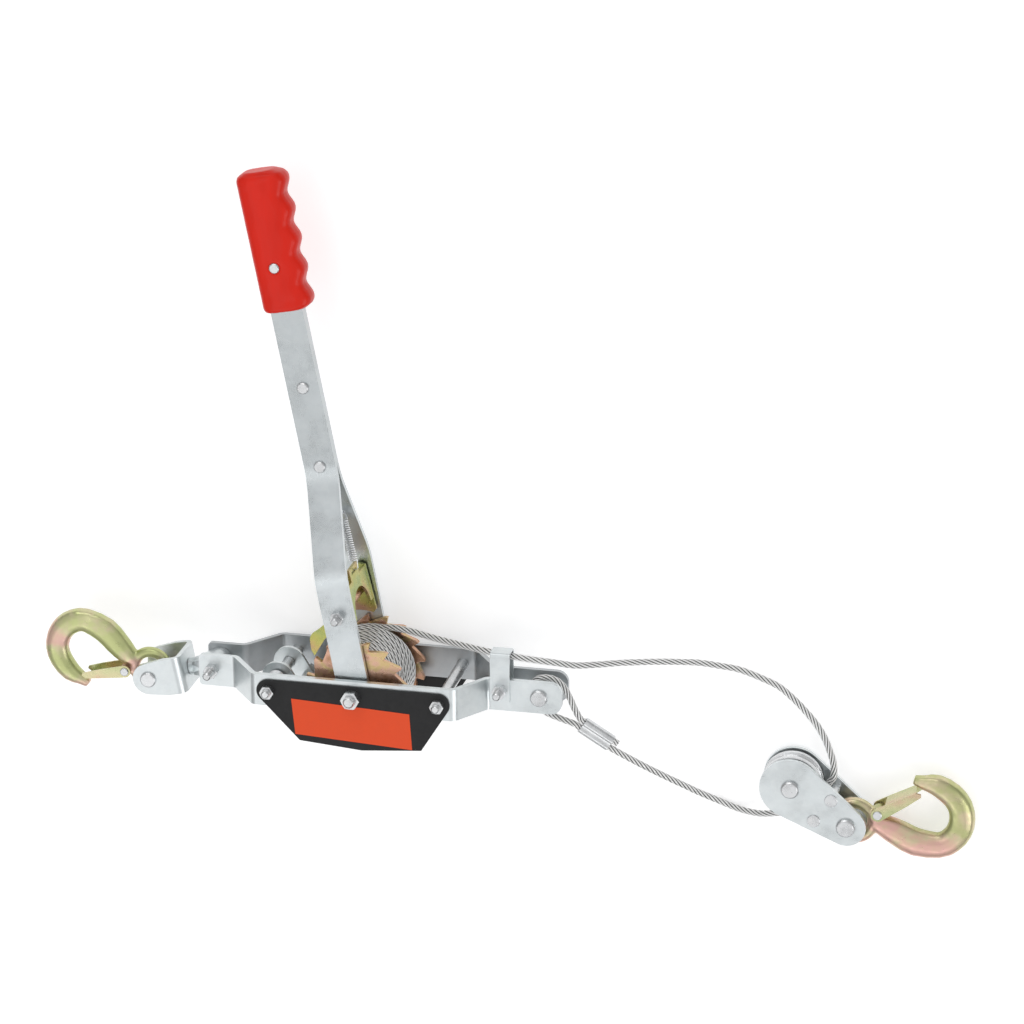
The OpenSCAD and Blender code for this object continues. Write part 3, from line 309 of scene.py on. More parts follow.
@dataclass(frozen=True)
class Finish:
    """A surface finish, made once as a material."""

    name: str
    slot: str

    def paint(self, sheet: Sheet) -> None:
        """Set up the shader of a sheet; each finish overrides this."""

    def material(self) -> bpy.types.Material:
        """The finish's material, made on first use.

        Returns:
            The material.
        """
        title = f"{self.name}_finish"
        known = bpy.data.materials.get(title)
        if known is not None:
            return known
        sheet = Sheet(title)
        self.paint(sheet)
        return sheet.material


@dataclass(frozen=True)
class BrightZinc(Finish):
    """Bluish zinc plate on rolled steel, with a faint grain and soft blotches.

    far_painted_shade is painted shade: it darkens the colour past painted_shade_span, a stretch of Y in
    metres.
    """

    colour: Colour = (0.685, 0.725, 0.73)
    rough: float = 0.33
    grain: Grain = Grain.ALONG_X
    relief: float = 0.3
    far_painted_shade: float = 1.0
    painted_shade_span: tuple[float, float] = (0.135, 0.180)

    def paint(self, sheet: Sheet) -> None:
        """Blotched colour with spangle, and rolled grain in roughness and bump.

        Args:
            sheet: the material to set up.
        """
        flat = sheet.place()
        blotch = sheet.noise(flat, 38, 4, 0.6)
        cells = sheet.cells(sheet.place(), 260)
        dark = toned(self.colour, 0.84)
        light = toned(self.colour, 1.08)
        colour = sheet.ramp(blotch, [(0.30, dark), (0.52, self.colour), (0.74, light)])
        spangle = sheet.ramp(cells, [(0.0, (0.5, 0.55, 0.62)), (1.0, (0.95, 0.96, 0.97))])
        colour = sheet.mix(0.06, colour, spangle)
        # Painted shade: the colour is darkened towards the far (+Y) end.
        if self.far_painted_shade < 1.0:
            shade = sheet.span(sheet.height(1), 1.0, self.far_painted_shade, *self.painted_shade_span)
            painted_shade_tone = sheet.ramp(shade, [(0.0, (0.0,) * 3), (1.0, (1.0,) * 3)])
            colour = sheet.mix(1.0, colour, painted_shade_tone, "MULTIPLY")
        sheet.put("Base Color", colour)
        sheet.put("Metallic", 1.0)
        grain = sheet.noise(sheet.place(self.grain.value), 14, 5, 0.65)
        patches = sheet.span(blotch, -0.06, 0.08)
        lines = sheet.span(grain, self.rough - 0.05, self.rough + 0.07)
        sheet.put("Roughness", sheet.math("ADD", patches, lines))
        normal = sheet.bump(grain, 0.00004, self.relief)
        normal = sheet.bump(sheet.noise(flat, 900, 2), 0.00003, self.relief * 0.4, normal)
        sheet.put("Normal", normal)


@dataclass(frozen=True)
class YellowZinc(Finish):
    """Passivated yellow zinc: the film drifts between straw, green and pink."""

    stops: tuple[tuple[float, Colour], ...] = (
        (0.28, (0.60, 0.50, 0.30)),
        (0.38, (0.74, 0.45, 0.39)),
        (0.45, (0.71, 0.49, 0.37)),
        (0.51, (0.64, 0.56, 0.36)),
        (0.57, (0.52, 0.52, 0.26)),
        (0.66, (0.44, 0.48, 0.22)),
    )
    rough: float = 0.34
    scale: float = 21.0
    relief: float = 0.4

    def paint(self, sheet: Sheet) -> None:
        """Drifting film colour, forged skin in the bump, and worn roughness.

        Args:
            sheet: the material to set up.
        """
        flat = sheet.place()
        drift = sheet.noise(sheet.place((1.0, 1.4, 1.8)), self.scale, 3, 0.5)
        fine = sheet.noise(flat, self.scale * 9, 4, 0.6)
        both = sheet.math("ADD", sheet.math("MULTIPLY", drift, 0.86), sheet.math("MULTIPLY", fine, 0.14))
        colour = sheet.ramp(both, list(self.stops))
        sheet.put("Base Color", colour)
        sheet.put("Metallic", 0.92)
        sheet.put("Roughness", sheet.span(fine, self.rough - 0.08, self.rough + 0.12))
        skin = sheet.noise(flat, 420, 4, 0.6)
        sheet.put("Normal", sheet.bump(skin, 0.00010, self.relief))


@dataclass(frozen=True)
class Paint(Finish):
    """Thin sprayed paint with a fine peel."""

    colour: Colour = (0.016, 0.016, 0.0165)
    rough: float = 0.36
    gloss: float = 0.22
    speckle: float = 1.5

    def paint(self, sheet: Sheet) -> None:
        """Even colour with a little dust, and a peel in the bump.

        Args:
            sheet: the material to set up.
        """
        flat = sheet.place()
        dust = sheet.noise(flat, 120, 5, 0.7)
        lift = toned(self.colour, self.speckle)
        sheet.put("Specular IOR Level", self.gloss)
        sheet.put("Base Color", sheet.ramp(dust, [(0.35, self.colour), (0.75, lift)]))
        sheet.put("Roughness", sheet.span(dust, self.rough - 0.04, self.rough + 0.10))
        sheet.put("Normal", sheet.bump(sheet.noise(flat, 700, 2), 0.00005, 0.35))


@dataclass(frozen=True)
class Moulded(Finish):
    """Moulded plastic with a soft sheen and a very fine texture."""

    colour: Colour = (0.80, 0.018, 0.005)
    rough: float = 0.32
    gloss: float = 0.22
    coat: float = 0.05

    def paint(self, sheet: Sheet) -> None:
        """Slight flow marks in the colour, and a fine texture in the bump.

        Args:
            sheet: the material to set up.
        """
        flow = sheet.noise(sheet.place((1, 0.25, 1)), 60, 3, 0.5)
        deep = toned(self.colour, 0.86)
        sheet.put("Base Color", sheet.ramp(flow, [(0.3, deep), (0.7, self.colour)]))
        sheet.put("Roughness", sheet.span(flow, self.rough - 0.04, self.rough + 0.06))
        sheet.put("Specular IOR Level", self.gloss)
        sheet.put("Coat Weight", self.coat)
        sheet.put("Coat Roughness", 0.25)
        texture = sheet.noise(sheet.place(), 1300, 2)
        sheet.put("Normal", sheet.bump(texture, 0.00003, 0.3))


@dataclass(frozen=True)
class RopeSteel(Finish):
    """Galvanised wire in a laid rope; reads the rope's own UV map, u along in metres and v round."""

    colour: Colour = (0.87, 0.87, 0.86)
    strands: int = 6
    wires: int = 24
    wire_pitch: float = 0.0075

    def paint(self, sheet: Sheet) -> None:
        """Wires as fine slanted ridges, with painted shade: near black in the valleys between the strands
        and darker in the grooves between the wires.

        Args:
            sheet: the material to set up.
        """
        split = sheet.node("SeparateXYZ", Vector=sheet.coords.outputs["UV"])
        along, around = split.outputs[0], split.outputs[1]
        turned = sheet.math("MULTIPLY", around, self.wires * math.tau)
        slanted = sheet.math("MULTIPLY", along, -math.tau / self.wire_pitch)
        phase = sheet.math("ADD", turned, slanted)
        wires = sheet.math("ABSOLUTE", sheet.math("SINE", sheet.math("MULTIPLY", phase, 0.5)))
        strand = sheet.math("COSINE", sheet.math("MULTIPLY", around, self.strands * math.tau))
        dirt = sheet.noise(sheet.place(), 220, 4, 0.6)
        # Painted shade: the valleys between strands go near black, and the grooves between wires darker.
        dark = toned(self.colour, 0.03)
        painted_groove_shade = toned(self.colour, 0.35)
        painted_valley_shade = sheet.mix(sheet.span(strand, 1.0, 0.0, 0.20, 0.90), dark, self.colour)
        colour = sheet.mix(sheet.span(wires, 0.18, 0.0, 0.0, 0.45), painted_valley_shade, painted_groove_shade)
        sheet.put("Base Color", colour)
        sheet.put("Metallic", 0.35)
        sheet.put("Roughness", sheet.span(dirt, 0.28, 0.42))
        sheet.put("Normal", sheet.bump(wires, 0.00006, 0.5))


PLATE = BrightZinc("zinc_plate", "plate_zinc")
# The straps' zinc, darkened towards the grip end as painted shade.
STRAP = BrightZinc("zinc_strap", "plate_zinc", (0.63, 0.67, 0.68), 0.29, Grain.ALONG_Y, far_painted_shade=0.82)
BOLT = BrightZinc("zinc_bolt", "bolt_zinc", (0.70, 0.71, 0.715), 0.27, Grain.EVEN, 0.10)
WIRE = BrightZinc("zinc_wire", "spring_steel", (0.80, 0.81, 0.82), 0.30, Grain.EVEN, 0.10)
# The plate zinc made darker for the rear plate: painted shade for the winch's inside, not a duller plating.
PLATE_PAINTED_SHADE = BrightZinc("zinc_plate_painted_shade", "plate_zinc", (0.46, 0.48, 0.49), 0.36)
HOOK = YellowZinc("yellow_forging", "yellow_zinc")
GREEN_HOOK = YellowZinc(
    "yellow_forging_green",
    "yellow_zinc",
    (
        (0.34, (0.46, 0.50, 0.22)),
        (0.47, (0.52, 0.55, 0.26)),
        (0.53, (0.60, 0.56, 0.34)),
        (0.57, (0.70, 0.50, 0.38)),
        (0.64, (0.72, 0.46, 0.40)),
        (0.72, (0.62, 0.54, 0.32)),
    ),
)
LATCH = YellowZinc(
    "yellow_latch",
    "yellow_zinc",
    (
        (0.36, (0.50, 0.54, 0.28)),
        (0.44, (0.60, 0.60, 0.34)),
        (0.52, (0.66, 0.60, 0.36)),
        (0.60, (0.66, 0.50, 0.34)),
        (0.70, (0.62, 0.60, 0.40)),
    ),
    0.28,
    30.0,
    0.10,
)
STAMPING = YellowZinc(
    "yellow_stamping",
    "yellow_zinc",
    (
        (0.34, (0.31, 0.37, 0.11)),
        (0.44, (0.40, 0.45, 0.16)),
        (0.52, (0.48, 0.47, 0.14)),
        (0.60, (0.54, 0.43, 0.16)),
        (0.70, (0.54, 0.32, 0.22)),
    ),
    0.28,
    26.0,
    0.12,
)
COPPERED = YellowZinc(
    "copper_zinc",
    "ratchet_zinc",
    (
        (0.34, (0.36, 0.18, 0.09)),
        (0.42, (0.62, 0.36, 0.23)),
        (0.49, (0.72, 0.45, 0.33)),
        (0.55, (0.66, 0.50, 0.24)),
        (0.62, (0.70, 0.42, 0.31)),
        (0.72, (0.38, 0.20, 0.10)),
    ),
    0.30,
    30.0,
    0.18,
)
BLACK = Paint("guard_black", "guard_black")
LABEL = Paint("label_film", "label_orange", (0.80, 0.084, 0.024), 0.45, 0.2, 1.04)
GRIP = Moulded("grip_red", "grip_red")
ROPE = RopeSteel("rope_steel", "rope_steel")
# The inner layers of rope on the drum coloured near black: painted shade under the outer winding.
LAYERS_PAINTED_SHADE = BrightZinc("rope_layers_painted_shade", "rope_steel", (0.10, 0.10, 0.105), 0.5, Grain.EVEN)


# ---------------------------------------------------------------- working on meshes


def added(name: str, data: bpy.types.ID) -> bpy.types.Object:
    """A new object in the scene.

    Args:
        name: its name.
        data: its mesh, camera or lamp.

    Returns:
        The object.
    """
    obj = bpy.data.objects.new(name, data)
    bpy.context.scene.collection.objects.link(obj)
    return obj


def select_only(obj: bpy.types.Object) -> None:
    """Deselect everything, then select one piece and make it active.

    Args:
        obj: the piece.
    """
    bpy.ops.object.select_all(action="DESELECT")
    obj.select_set(True)
    bpy.context.view_layer.objects.active = obj


@contextmanager
def editing(obj: bpy.types.Object, kind: str = "VERT") -> Iterator[bpy.types.Object]:
    """Edit mode on obj with all its parts selected; back to object mode at the end.

    Args:
        obj: the mesh object.
        kind: selection mode.

    Yields:
        The object.
    """
    select_only(obj)
    bpy.ops.object.mode_set(mode="EDIT")
    bpy.ops.mesh.select_mode(type=kind)
    bpy.ops.mesh.select_all(action="SELECT")
    try:
        yield obj
    finally:
        bpy.ops.object.mode_set(mode="OBJECT")


def apply_modifier(obj: bpy.types.Object, kind: str, **settings: object) -> None:
    """Add a modifier, set it and apply it.

    Args:
        obj: the mesh object.
        kind: modifier type.
        **settings: its values.
    """
    select_only(obj)
    modifier = obj.modifiers.new(kind.lower(), kind)
    for key, value in settings.items():
        setattr(modifier, key, value)
    bpy.ops.object.modifier_apply(modifier=modifier.name)


def smooth_by_angle(obj: bpy.types.Object, degrees: float) -> None:
    """Shade smooth, with edges above an angle kept sharp."""
    select_only(obj)
    bpy.ops.object.shade_smooth_by_angle(angle=math.radians(degrees))


def settle(
    obj: bpy.types.Object, body: str | None, finish: Finish, nodes: Sequence[str] = ()
) -> bpy.types.Object:
    """Give a finished piece its material and body.

    Args:
        obj: the piece.
        body: the CAD body that it rides on, or none for a piece that is blended between two.
        finish: its finish.
        nodes: CAD nodes that it stands for.

    Returns:
        The piece.
    """
    obj.data.materials.clear()
    obj.data.materials.append(finish.material())
    if body:
        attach(obj, body)
    if nodes:
        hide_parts(*nodes)
    log.info("%s on %s: %d faces", obj.name, body, len(obj.data.polygons))
    return obj


def body_of(node: str) -> str:
    """The CAD body that a node belongs to."""
    return frame["nodes"][node]["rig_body"]


def traced(node: str, name: str) -> bpy.types.Object:
    """A merged copy of a CAD node's mesh, as a new piece to work on.

    Args:
        node: the CAD node.
        name: the new piece's name.

    Returns:
        The copy, at the origin.
    """
    mesh = frame["nodes"][node].data.copy()
    mesh.name = name
    obj = added(name, mesh)
    with editing(obj):
        bpy.ops.mesh.customdata_custom_splitnormals_clear()
        bpy.ops.mesh.remove_doubles(threshold=WELD)
        bpy.ops.mesh.dissolve_limited(angle_limit=FLAT, use_dissolve_boundaries=False)
    return obj


def soften_bends(
    obj: bpy.types.Object, along: Vector, bends: Sequence[tuple[float, float]], cuts: int = 12
) -> None:
    """Spread the two bends of a cranked strap over a longer, softer curve.

    Args:
        obj: the strap's piece, bent out of its plane along Z only.
        along: unit vector along the strap.
        bends: place of each bend's middle along the strap, and how far it spreads each way.
        cuts: new cross cuts in each bend.
    """
    stations = [(at - reach, at + reach) for at, reach in bends]
    with editing(obj):
        for first, last in stations:
            for i in range(cuts + 1):
                place = along * (first + (last - first) * i / cuts)
                bpy.ops.mesh.select_all(action="SELECT")
                bpy.ops.mesh.bisect(plane_co=place, plane_no=along)
    run = [v.co.dot(along) for v in obj.data.vertices]

    def faces_at(place: float) -> tuple[float, float]:
        """Highest and lowest point of the strap at a cross cut."""
        heights = [v.co.z for v, s in zip(obj.data.vertices, run) if abs(s - place) < 1e-5]
        return max(heights), min(heights)

    (a, b), (c, d) = [(faces_at(first), faces_at(last)) for first, last in stations]
    for side in (0, 1):
        slope = (c[side] - b[side]) / (stations[1][0] - stations[0][1])
        curves = ((stations[0], a, b, 0.0, slope), (stations[1], c, d, slope, 0.0))
        for (first, last), z0, z1, m0, m1 in curves:
            span = last - first
            for vertex, s in zip(obj.data.vertices, run):
                t = (s - first) / span
                if not 0.0 < t < 1.0:
                    continue
                mid = [(z0[0] + z0[1]) / 2, (z1[0] + z1[1]) / 2]
                rise = m0 * (t * span) if t < 0.5 else mid[1] - mid[0] - m1 * (1 - t) * span
                if (vertex.co.z < mid[0] + rise) != bool(side):
                    continue
                h = (2 * t**3 - 3 * t**2 + 1, t**3 - 2 * t**2 + t, 3 * t**2 - 2 * t**3, t**3 - t**2)
                ends = h[0] * z0[side] + h[1] * m0 * span
                vertex.co.z = ends + h[2] * z1[side] + h[3] * m1 * span


def eased(
    node: str,
    finish: Finish,
    width: float = 0.0005,
    segments: int = 2,
    angle: float = 34.0,
    sharp: float = 40.0,
    shaped: Callable[[bpy.types.Object], None] | None = None,
) -> bpy.types.Object:
    """A node with its sharp edges broken, as tumbled and plated steel has.

    Args:
        node: the CAD node that the piece stands for.
        finish: its finish.
        width: width of the broken edge in metres.
        segments: faces across it.
        angle: edges sharper than this are broken.
        sharp: edges sharper than this are shaded as edges.
        shaped: a last change to the copy's shape before its edges are broken.

    Returns:
        The piece.
    """
    obj = traced(node, node + "_dressed")
    if shaped is not None:
        shaped(obj)
    apply_modifier(
        obj,
        "BEVEL",
        width=width,
        segments=segments,
        limit_method="ANGLE",
        angle_limit=math.radians(angle),
        use_clamp_overlap=True,
        miter_outer="MITER_ARC",
        loop_slide=False,
    )
    smooth_by_angle(obj, sharp)
    apply_modifier(obj, "WEIGHTED_NORMAL", mode="FACE_AREA_WITH_ANGLE", weight=50, keep_sharp=True)
    return settle(obj, body_of(node), finish, [node])


def cast(node: str, finish: Finish, voxel: float, rounds: int) -> bpy.types.Object:
    """A node as a forging or moulding: its surface is remade evenly and its creases flow together.

    Args:
        node: the CAD node that the piece stands for.
        finish: its finish.
        voxel: size of the new faces in metres.
        rounds: smoothing rounds.

    Returns:
        The piece.
    """
    obj = traced(node, node + "_dressed")
    apply_modifier(obj, "REMESH", mode="VOXEL", voxel_size=voxel, adaptivity=0.0)
    apply_modifier(obj, "SMOOTH", factor=0.5, iterations=rounds)
    smooth_by_angle(obj, 60.0)
    return settle(obj, body_of(node), finish, [node])


# ---------------------------------------------------------------- tubes and laid rope


def flow(points: Sequence[Vector], step: float) -> list[Vector]:
    """Even points on a smooth curve through the given ones.

    Args:
        points: the route.
        step: distance between the new points in metres.

    Returns:
        The new points, from the first to the last.
    """
    dense: list[Vector] = []
    last = len(points) - 1
    for i in range(last):
        p0, p1, p2, p3 = (points[max(0, min(last, i + k))] for k in (-1, 0, 1, 2))
        parts = max(4, int((p2 - p1).length / step) * 3)
        for j in range(parts):
            t = j / parts
            square = (2 * p0 - 5 * p1 + 4 * p2 - p3) * t * t
            cube = (3 * p1 - p0 - 3 * p2 + p3) * t**3
            dense.append(0.5 * (2 * p1 + (p2 - p0) * t + square + cube))
    dense.append(points[-1].copy())
    travelled = [0.0]
    for a, b in zip(dense, dense[1:]):
        travelled.append(travelled[-1] + (b - a).length)
    count = max(2, round(travelled[-1] / step))
    out, k = [], 0
    for i in range(count + 1):
        want = travelled[-1] * i / count
        while k < len(dense) - 2 and travelled[k + 1] < want:
            k += 1
        gap = travelled[k + 1] - travelled[k]
        out.append(dense[k].lerp(dense[k + 1], 0.0 if gap == 0 else (want - travelled[k]) / gap))
    return out


def length_of(points: Sequence[Vector]) -> float:
    """Length along a run of points."""
    return sum((b - a).length for a, b in zip(points, points[1:]))


def swept(
    name: str, path: Sequence[Vector], section: Callable[[float], Outline]
) -> bpy.types.Object:
    """A closed tube along a path, with a UV map: u along in metres and v round from 0 to 1.

    Args:
        name: the piece's name.
        path: centre points.
        section: gives the section's points (x, y) at a distance along the path.

    Returns:
        The tube.
    """
    count = len(section(0.0))
    side: Vector | None = None
    verts: list[Vector] = []
    along = [0.0]
    for i, point in enumerate(path):
        ahead = (path[min(i + 1, len(path) - 1)] - path[max(i - 1, 0)]).normalized()
        if side is None:
            guide = Vector((0, 0, 1)) if abs(ahead.z) < 0.9 else Vector((1, 0, 0))
            side = ahead.cross(guide).normalized()
        side = (side - ahead * side.dot(ahead)).normalized()
        up = ahead.cross(side)
        if i:
            along.append(along[-1] + (point - path[i - 1]).length)
        verts.extend(point + side * x + up * y for x, y in section(along[i]))
    faces = [
        (i * count + k, i * count + j, (i + 1) * count + j, (i + 1) * count + k)
        for i in range(len(path) - 1)
        for k, j in zip(range(count), (*range(1, count), 0))
    ]
    walls = len(faces)
    faces.append(tuple(range(count - 1, -1, -1)))
    faces.append(tuple(range((len(path) - 1) * count, len(path) * count)))
    mesh = bpy.data.meshes.new(name)
    mesh.from_pydata(verts, [], faces)
    uv = mesh.uv_layers.new(name="run")
    values: list[float] = []
    for n in range(walls):
        i, k = divmod(n, count)
        for di, dk in ((0, 0), (0, 1), (1, 1), (1, 0)):
            values += [along[i + di], (k + dk) / count]
    values += [0.0, 0.0] * (2 * count)
    uv.data.foreach_set("uv", values)
    obj = added(name, mesh)
    with editing(obj):
        bpy.ops.mesh.normals_make_consistent(inside=False)
    smooth_by_angle(obj, 50.0)
    return obj


@dataclass(frozen=True)
class Lay:
    """Section of a laid rope: its strands as lobes that turn along the rope."""

    diameter: float = ROPE_D
    strands: int = 6
    pitch: float = 0.030
    per_strand: int = 6

    def section(self, along: float) -> Outline:
        """The rope's outline at a place along it.

        Args:
            along: distance from the start in metres.

        Returns:
            The outline's points.
        """
        centre, strand = self.diameter / 3, self.diameter / 6
        turn = math.tau * along / self.pitch
        points = []
        for k in range(self.strands * self.per_strand):
            local = (k % self.per_strand) / self.per_strand - 0.5
            phi = local * math.tau / self.strands
            lobe = math.sqrt(max(0.0, strand**2 - (centre * math.sin(phi)) ** 2))
            radius = centre * math.cos(phi) + lobe
            angle = math.tau * k / (self.strands * self.per_strand) + turn
            points.append((radius * math.cos(angle), radius * math.sin(angle)))
        return points


def round_section(radius: float, sides: int) -> Callable[[float], Outline]:
    """A plain round section.

    Args:
        radius: its radius in metres.
        sides: how many points it has.

    Returns:
        A function that gives the same outline at every place.
    """
    angles = [math.tau * k / sides for k in range(sides)]
    points = [(radius * math.cos(a), radius * math.sin(a)) for a in angles]
    return lambda along: points


def run_of(points: Sequence[Sequence[float]]) -> list[Vector]:
    """Route points in millimetres about the winch's middle plane, as metres in the row frame."""
    return [Vector((x, y, z + MID_MM)) * MM for x, y, z in points]


# ---------------------------------------------------------------- the rope


@dataclass
class Rope:
    """The wire rope: the winding, the two free runs, the eye and the part in the block.

    Routes are in millimetres, with Z about the winch's middle plane; step is in metres.
    """

    lay: Lay = field(default_factory=Lay)
    step: float = 0.001
    turns: float = 7.5
    per_turn: int = 72
    lead: float = 5.2
    winding_pitch: float = 5.66
    mean_r: float = 30.0
    taper: float = 4.8
    drum_half: float = 25.0
    sheave: tuple[float, float] = (322.3, -71.0)
    sheave_r: float = 23.0
    wrap: tuple[float, float] = (-30.0, -75.0)
    wrap_step: int = 5
    ferrule_at: Point = (166.2, -26.0, -3.0)
    ferrule_heading: float = -34.9
    ferrule_dip: float = 7.0
    ferrule_l: float = 26.0
    half_step: float = 3.1
    tail: float = 4.5
    soft_span: tuple[float, float] = (0.12, 0.96)

    def winding_r(self, z: float) -> float:
        """Radius of the outer layer at a height about the middle plane."""
        return self.mean_r - self.taper * z / (2 * self.drum_half)

    @property
    def winding_z0(self) -> float:
        """Height at which the outer layer starts."""
        return -self.turns * self.winding_pitch / 2

    def on_sheave(self, angle: float, lead: float) -> Point:
        """A point where the rope meets the sheave, or on its straight lead.

        Args:
            angle: where round the sheave, in degrees.
            lead: distance along the straight lead there.

        Returns:
            The point.
        """
        a = math.radians(angle)
        return (
            self.sheave[0] + self.sheave_r * math.cos(a) + lead * math.sin(a),
            self.sheave[1] + self.sheave_r * math.sin(a) - lead * math.cos(a),
            BLOCK_MM - MID_MM,
        )

    def in_ferrule(self, lead: float, side: int) -> Point:
        """A point along one lobe of the ferrule.

        Args:
            lead: distance from the end that faces the eye.
            side: 1 for the lobe of the dead end, -1 for the lobe of the live one.

        Returns:
            The point.
        """
        h, d = math.radians(self.ferrule_heading), math.radians(self.ferrule_dip)
        way = (math.cos(h) * math.cos(d), math.sin(h) * math.cos(d), -math.sin(d))
        across = (-math.sin(h), math.cos(h), 0.0)
        places = zip(self.ferrule_at, way, across)
        return tuple(at + lead * w + side * self.half_step * c for at, w, c in places)

    def pull_route(self) -> list[Vector]:
        """The run from the drum through the guide to the block.

        Returns:
            Its route.
        """
        r0, z0 = self.winding_r(self.winding_z0), self.winding_z0
        return run_of(
            [
                (self.lead, r0, z0), (self.lead + 3, r0, z0),
                (14, 32.9, -20), (22, 33.1, -18.3), (32, 32.3, -17),
                (43.2, 30.8, -14.8), (54.4, 30, -11.6), (66.6, 29.7, -7.4),
                (83.2, 29.8, -0.8), (96.7, 30.1, 4.2), (108.5, 29.3, 5.4), (121.2, 27.6, 5.2),
                (133.9, 25.8, 3.2), (146.7, 23.4, -0.8), (160.3, 20.1, -6.6),
                (177.1, 19.2, -14.4), (191.3, 19.2, -20.4), (205.5, 19.1, -25.2), (219.8, 18.9, -29.6),
                (234, 18.5, -33.2), (249.1, 18, -36), (264.2, 16.2, -37.6), (279.1, 14.1, -38.4),
                (294.1, 9.3, -38.4), (309, 3.1, -38.2), (320.9, -6, -37.6), (331.8, -16.6, -36.8),
                (339.2, -25.1, -36), (345.1, -34.4, -35.2), (349.4, -44, -34), (352.5, -53.2, -32.9),
                *[self.on_sheave(self.wrap[0], -lead) for lead in (22, 16, 11)],
            ]
        )

    def return_route(self) -> list[Vector]:
        """The run from the block back to the ferrule.

        Returns:
            Its route.
        """
        return run_of(
            [
                *[self.on_sheave(self.wrap[1], lead) for lead in (13, 18)],
                (300, -101.5, -36), (290, -103.5, -41), (278, -103, -45), (265, -98, -44), (251, -90, -38),
                (237, -79.5, -29), (222, -69, -21), (207.8, -58.6, -13.5),
                self.in_ferrule(self.ferrule_l + 5, -1), self.in_ferrule(self.ferrule_l, -1),
            ]
        )

    def eye_route(self) -> list[Vector]:
        """The loop round the rope end pin.

        Returns:
            Its route.
        """
        return run_of(
            [
                self.in_ferrule(0, 1), self.in_ferrule(-4, 1), (160.8, -13.5, -1.6), (157.5, -5, -0.6),
                (153.6, 3, 0), (148, 8.8, 0), (140.5, 11, 0), (132.2, 9, 0), (127.8, 1, 0), (128.6, -7.5, 0),
                (133, -14, -0.5), (141, -18.6, -1), (151, -22.4, -1.6),
                self.in_ferrule(-5, -1), self.in_ferrule(0, -1),
            ]
        )

    def winding_route(self) -> list[Vector]:
        """The outer layer on the drum, from the top at the rear wheel.

        Returns:
            Its route.
        """
        count = int(self.turns * self.per_turn)
        points = []
        for i in range(count + 1):
            a = math.radians(90 + 360 / self.per_turn * i)
            z = (i / count - 0.5) * self.turns * self.winding_pitch
            r = self.winding_r(z)
            points.append((r * math.cos(a), r * math.sin(a), z))
        first, end, before = points[0], points[-1], points[-2]
        scale = self.lead / math.dist(end, before)
        points.insert(0, (first[0] + self.lead, first[1], first[2]))
        points.append(tuple(end[i] + (end[i] - before[i]) * scale for i in range(3)))
        return run_of(points)

    def build(self) -> None:
        outer = flow(self.winding_route(), self.step * 1.15)
        winding = swept("rope_winding_laid", outer, self.lay.section)
        settle(winding, "drum", ROPE, ["rope_winding"])
        turn = [
            self.on_sheave(self.wrap[0], -11),
            *[self.on_sheave(self.wrap[0] - self.wrap_step * i, 0) for i in range(10)],
            self.on_sheave(self.wrap[1], 13),
        ]
        in_block = swept("rope_block_turn_laid", flow(run_of(turn), self.step), self.lay.section)
        settle(in_block, "pulley_block", ROPE, ["rope_block_turn"])
        for name, route, node, ends in (
            ("rope_pull_run_laid", self.pull_route(), "rope_pull_run", ("frame", "pulley_block")),
            ("rope_return_run_laid", self.return_route(), "rope_return_run", ("frame", "pulley_block")),
            ("rope_eye_loop_laid", self.eye_route(), "rope_eye_loop", None),
        ):
            path = flow(route, self.step)
            piece = swept(name, path, self.lay.section)
            settle(piece, None if ends else "frame", ROPE, [node])
            if ends:
                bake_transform(piece)
            log.info("%s is %.3f m long", name, length_of(path))
        tail = [self.in_ferrule(self.ferrule_l + d, 1) for d in (-6, self.tail)]
        stub = swept("rope_tail_stub", flow(run_of(tail), self.step), self.lay.section)
        settle(stub, "frame", ROPE)


# ---------------------------------------------------------------- the winch's metalwork


@dataclass
class Winch:
    """Side plates, guards, bolts, guide and pins of the winch's frame."""

    edge: float = 0.0006
    guard_edge: float = 0.0004
    film_edge: float = 0.00008
    bolt_edge: float = 0.00025
    pin_edge: float = 0.0004
    fasteners: tuple[str, ...] = (
        "axle_bolt", "axle_nut", "cross_bolts", "cross_nuts",
        "guide_bolt", "guide_nut", "swivel_bolt", "swivel_nut",
    )

    def build(self) -> None:
        """Dress the frame's nodes."""
        eased("front_plate", PLATE, self.edge)
        # The darker zinc on the rear plate is painted shade.
        eased("rear_plate", PLATE_PAINTED_SHADE, self.edge)
        eased("guide_clip", PLATE, self.edge)
        for node in ("front_guard", "rear_guard"):
            eased(node, BLACK, self.guard_edge)
        eased("label_panel", LABEL, self.film_edge, 1)
        for node in self.fasteners:
            eased(node, BOLT, self.bolt_edge)
        for node in ("rope_pin", "axle_washers", "cross_spacers", "rope_ferrule"):
            eased(node, BOLT, self.pin_edge)


@dataclass
class Lever:
    """The forked handle: straps, rivets, grip and the drive pawl's pivot.

    bends holds the middle of each of a strap's bends along the lever, and its reach each way.
    """

    edge: float = 0.0006
    bolt_edge: float = 0.0003
    grip_voxel: float = 0.0009
    grip_rounds: int = 6
    bends: tuple[tuple[float, float], ...] = ((0.090, 0.009), (0.161, 0.011))

    def soften(self, strap: bpy.types.Object) -> None:
        """Give a strap its long soft bends."""
        a = math.radians(HANDLE_TILT)
        soften_bends(strap, Vector((-math.sin(a), math.cos(a), 0)), self.bends)

    def build(self) -> None:
        """Dress the handle's nodes."""
        for node in ("front_strap", "rear_strap"):
            eased(node, STRAP, self.edge, shaped=self.soften)
        for node in ("strap_rivets", "grip_rivet", "pawl_bolt", "pawl_nut"):
            eased(node, BOLT, self.bolt_edge)
        eased("pawl_spacer", COPPERED, self.bolt_edge)
        cast("grip", GRIP, self.grip_voxel, self.grip_rounds)


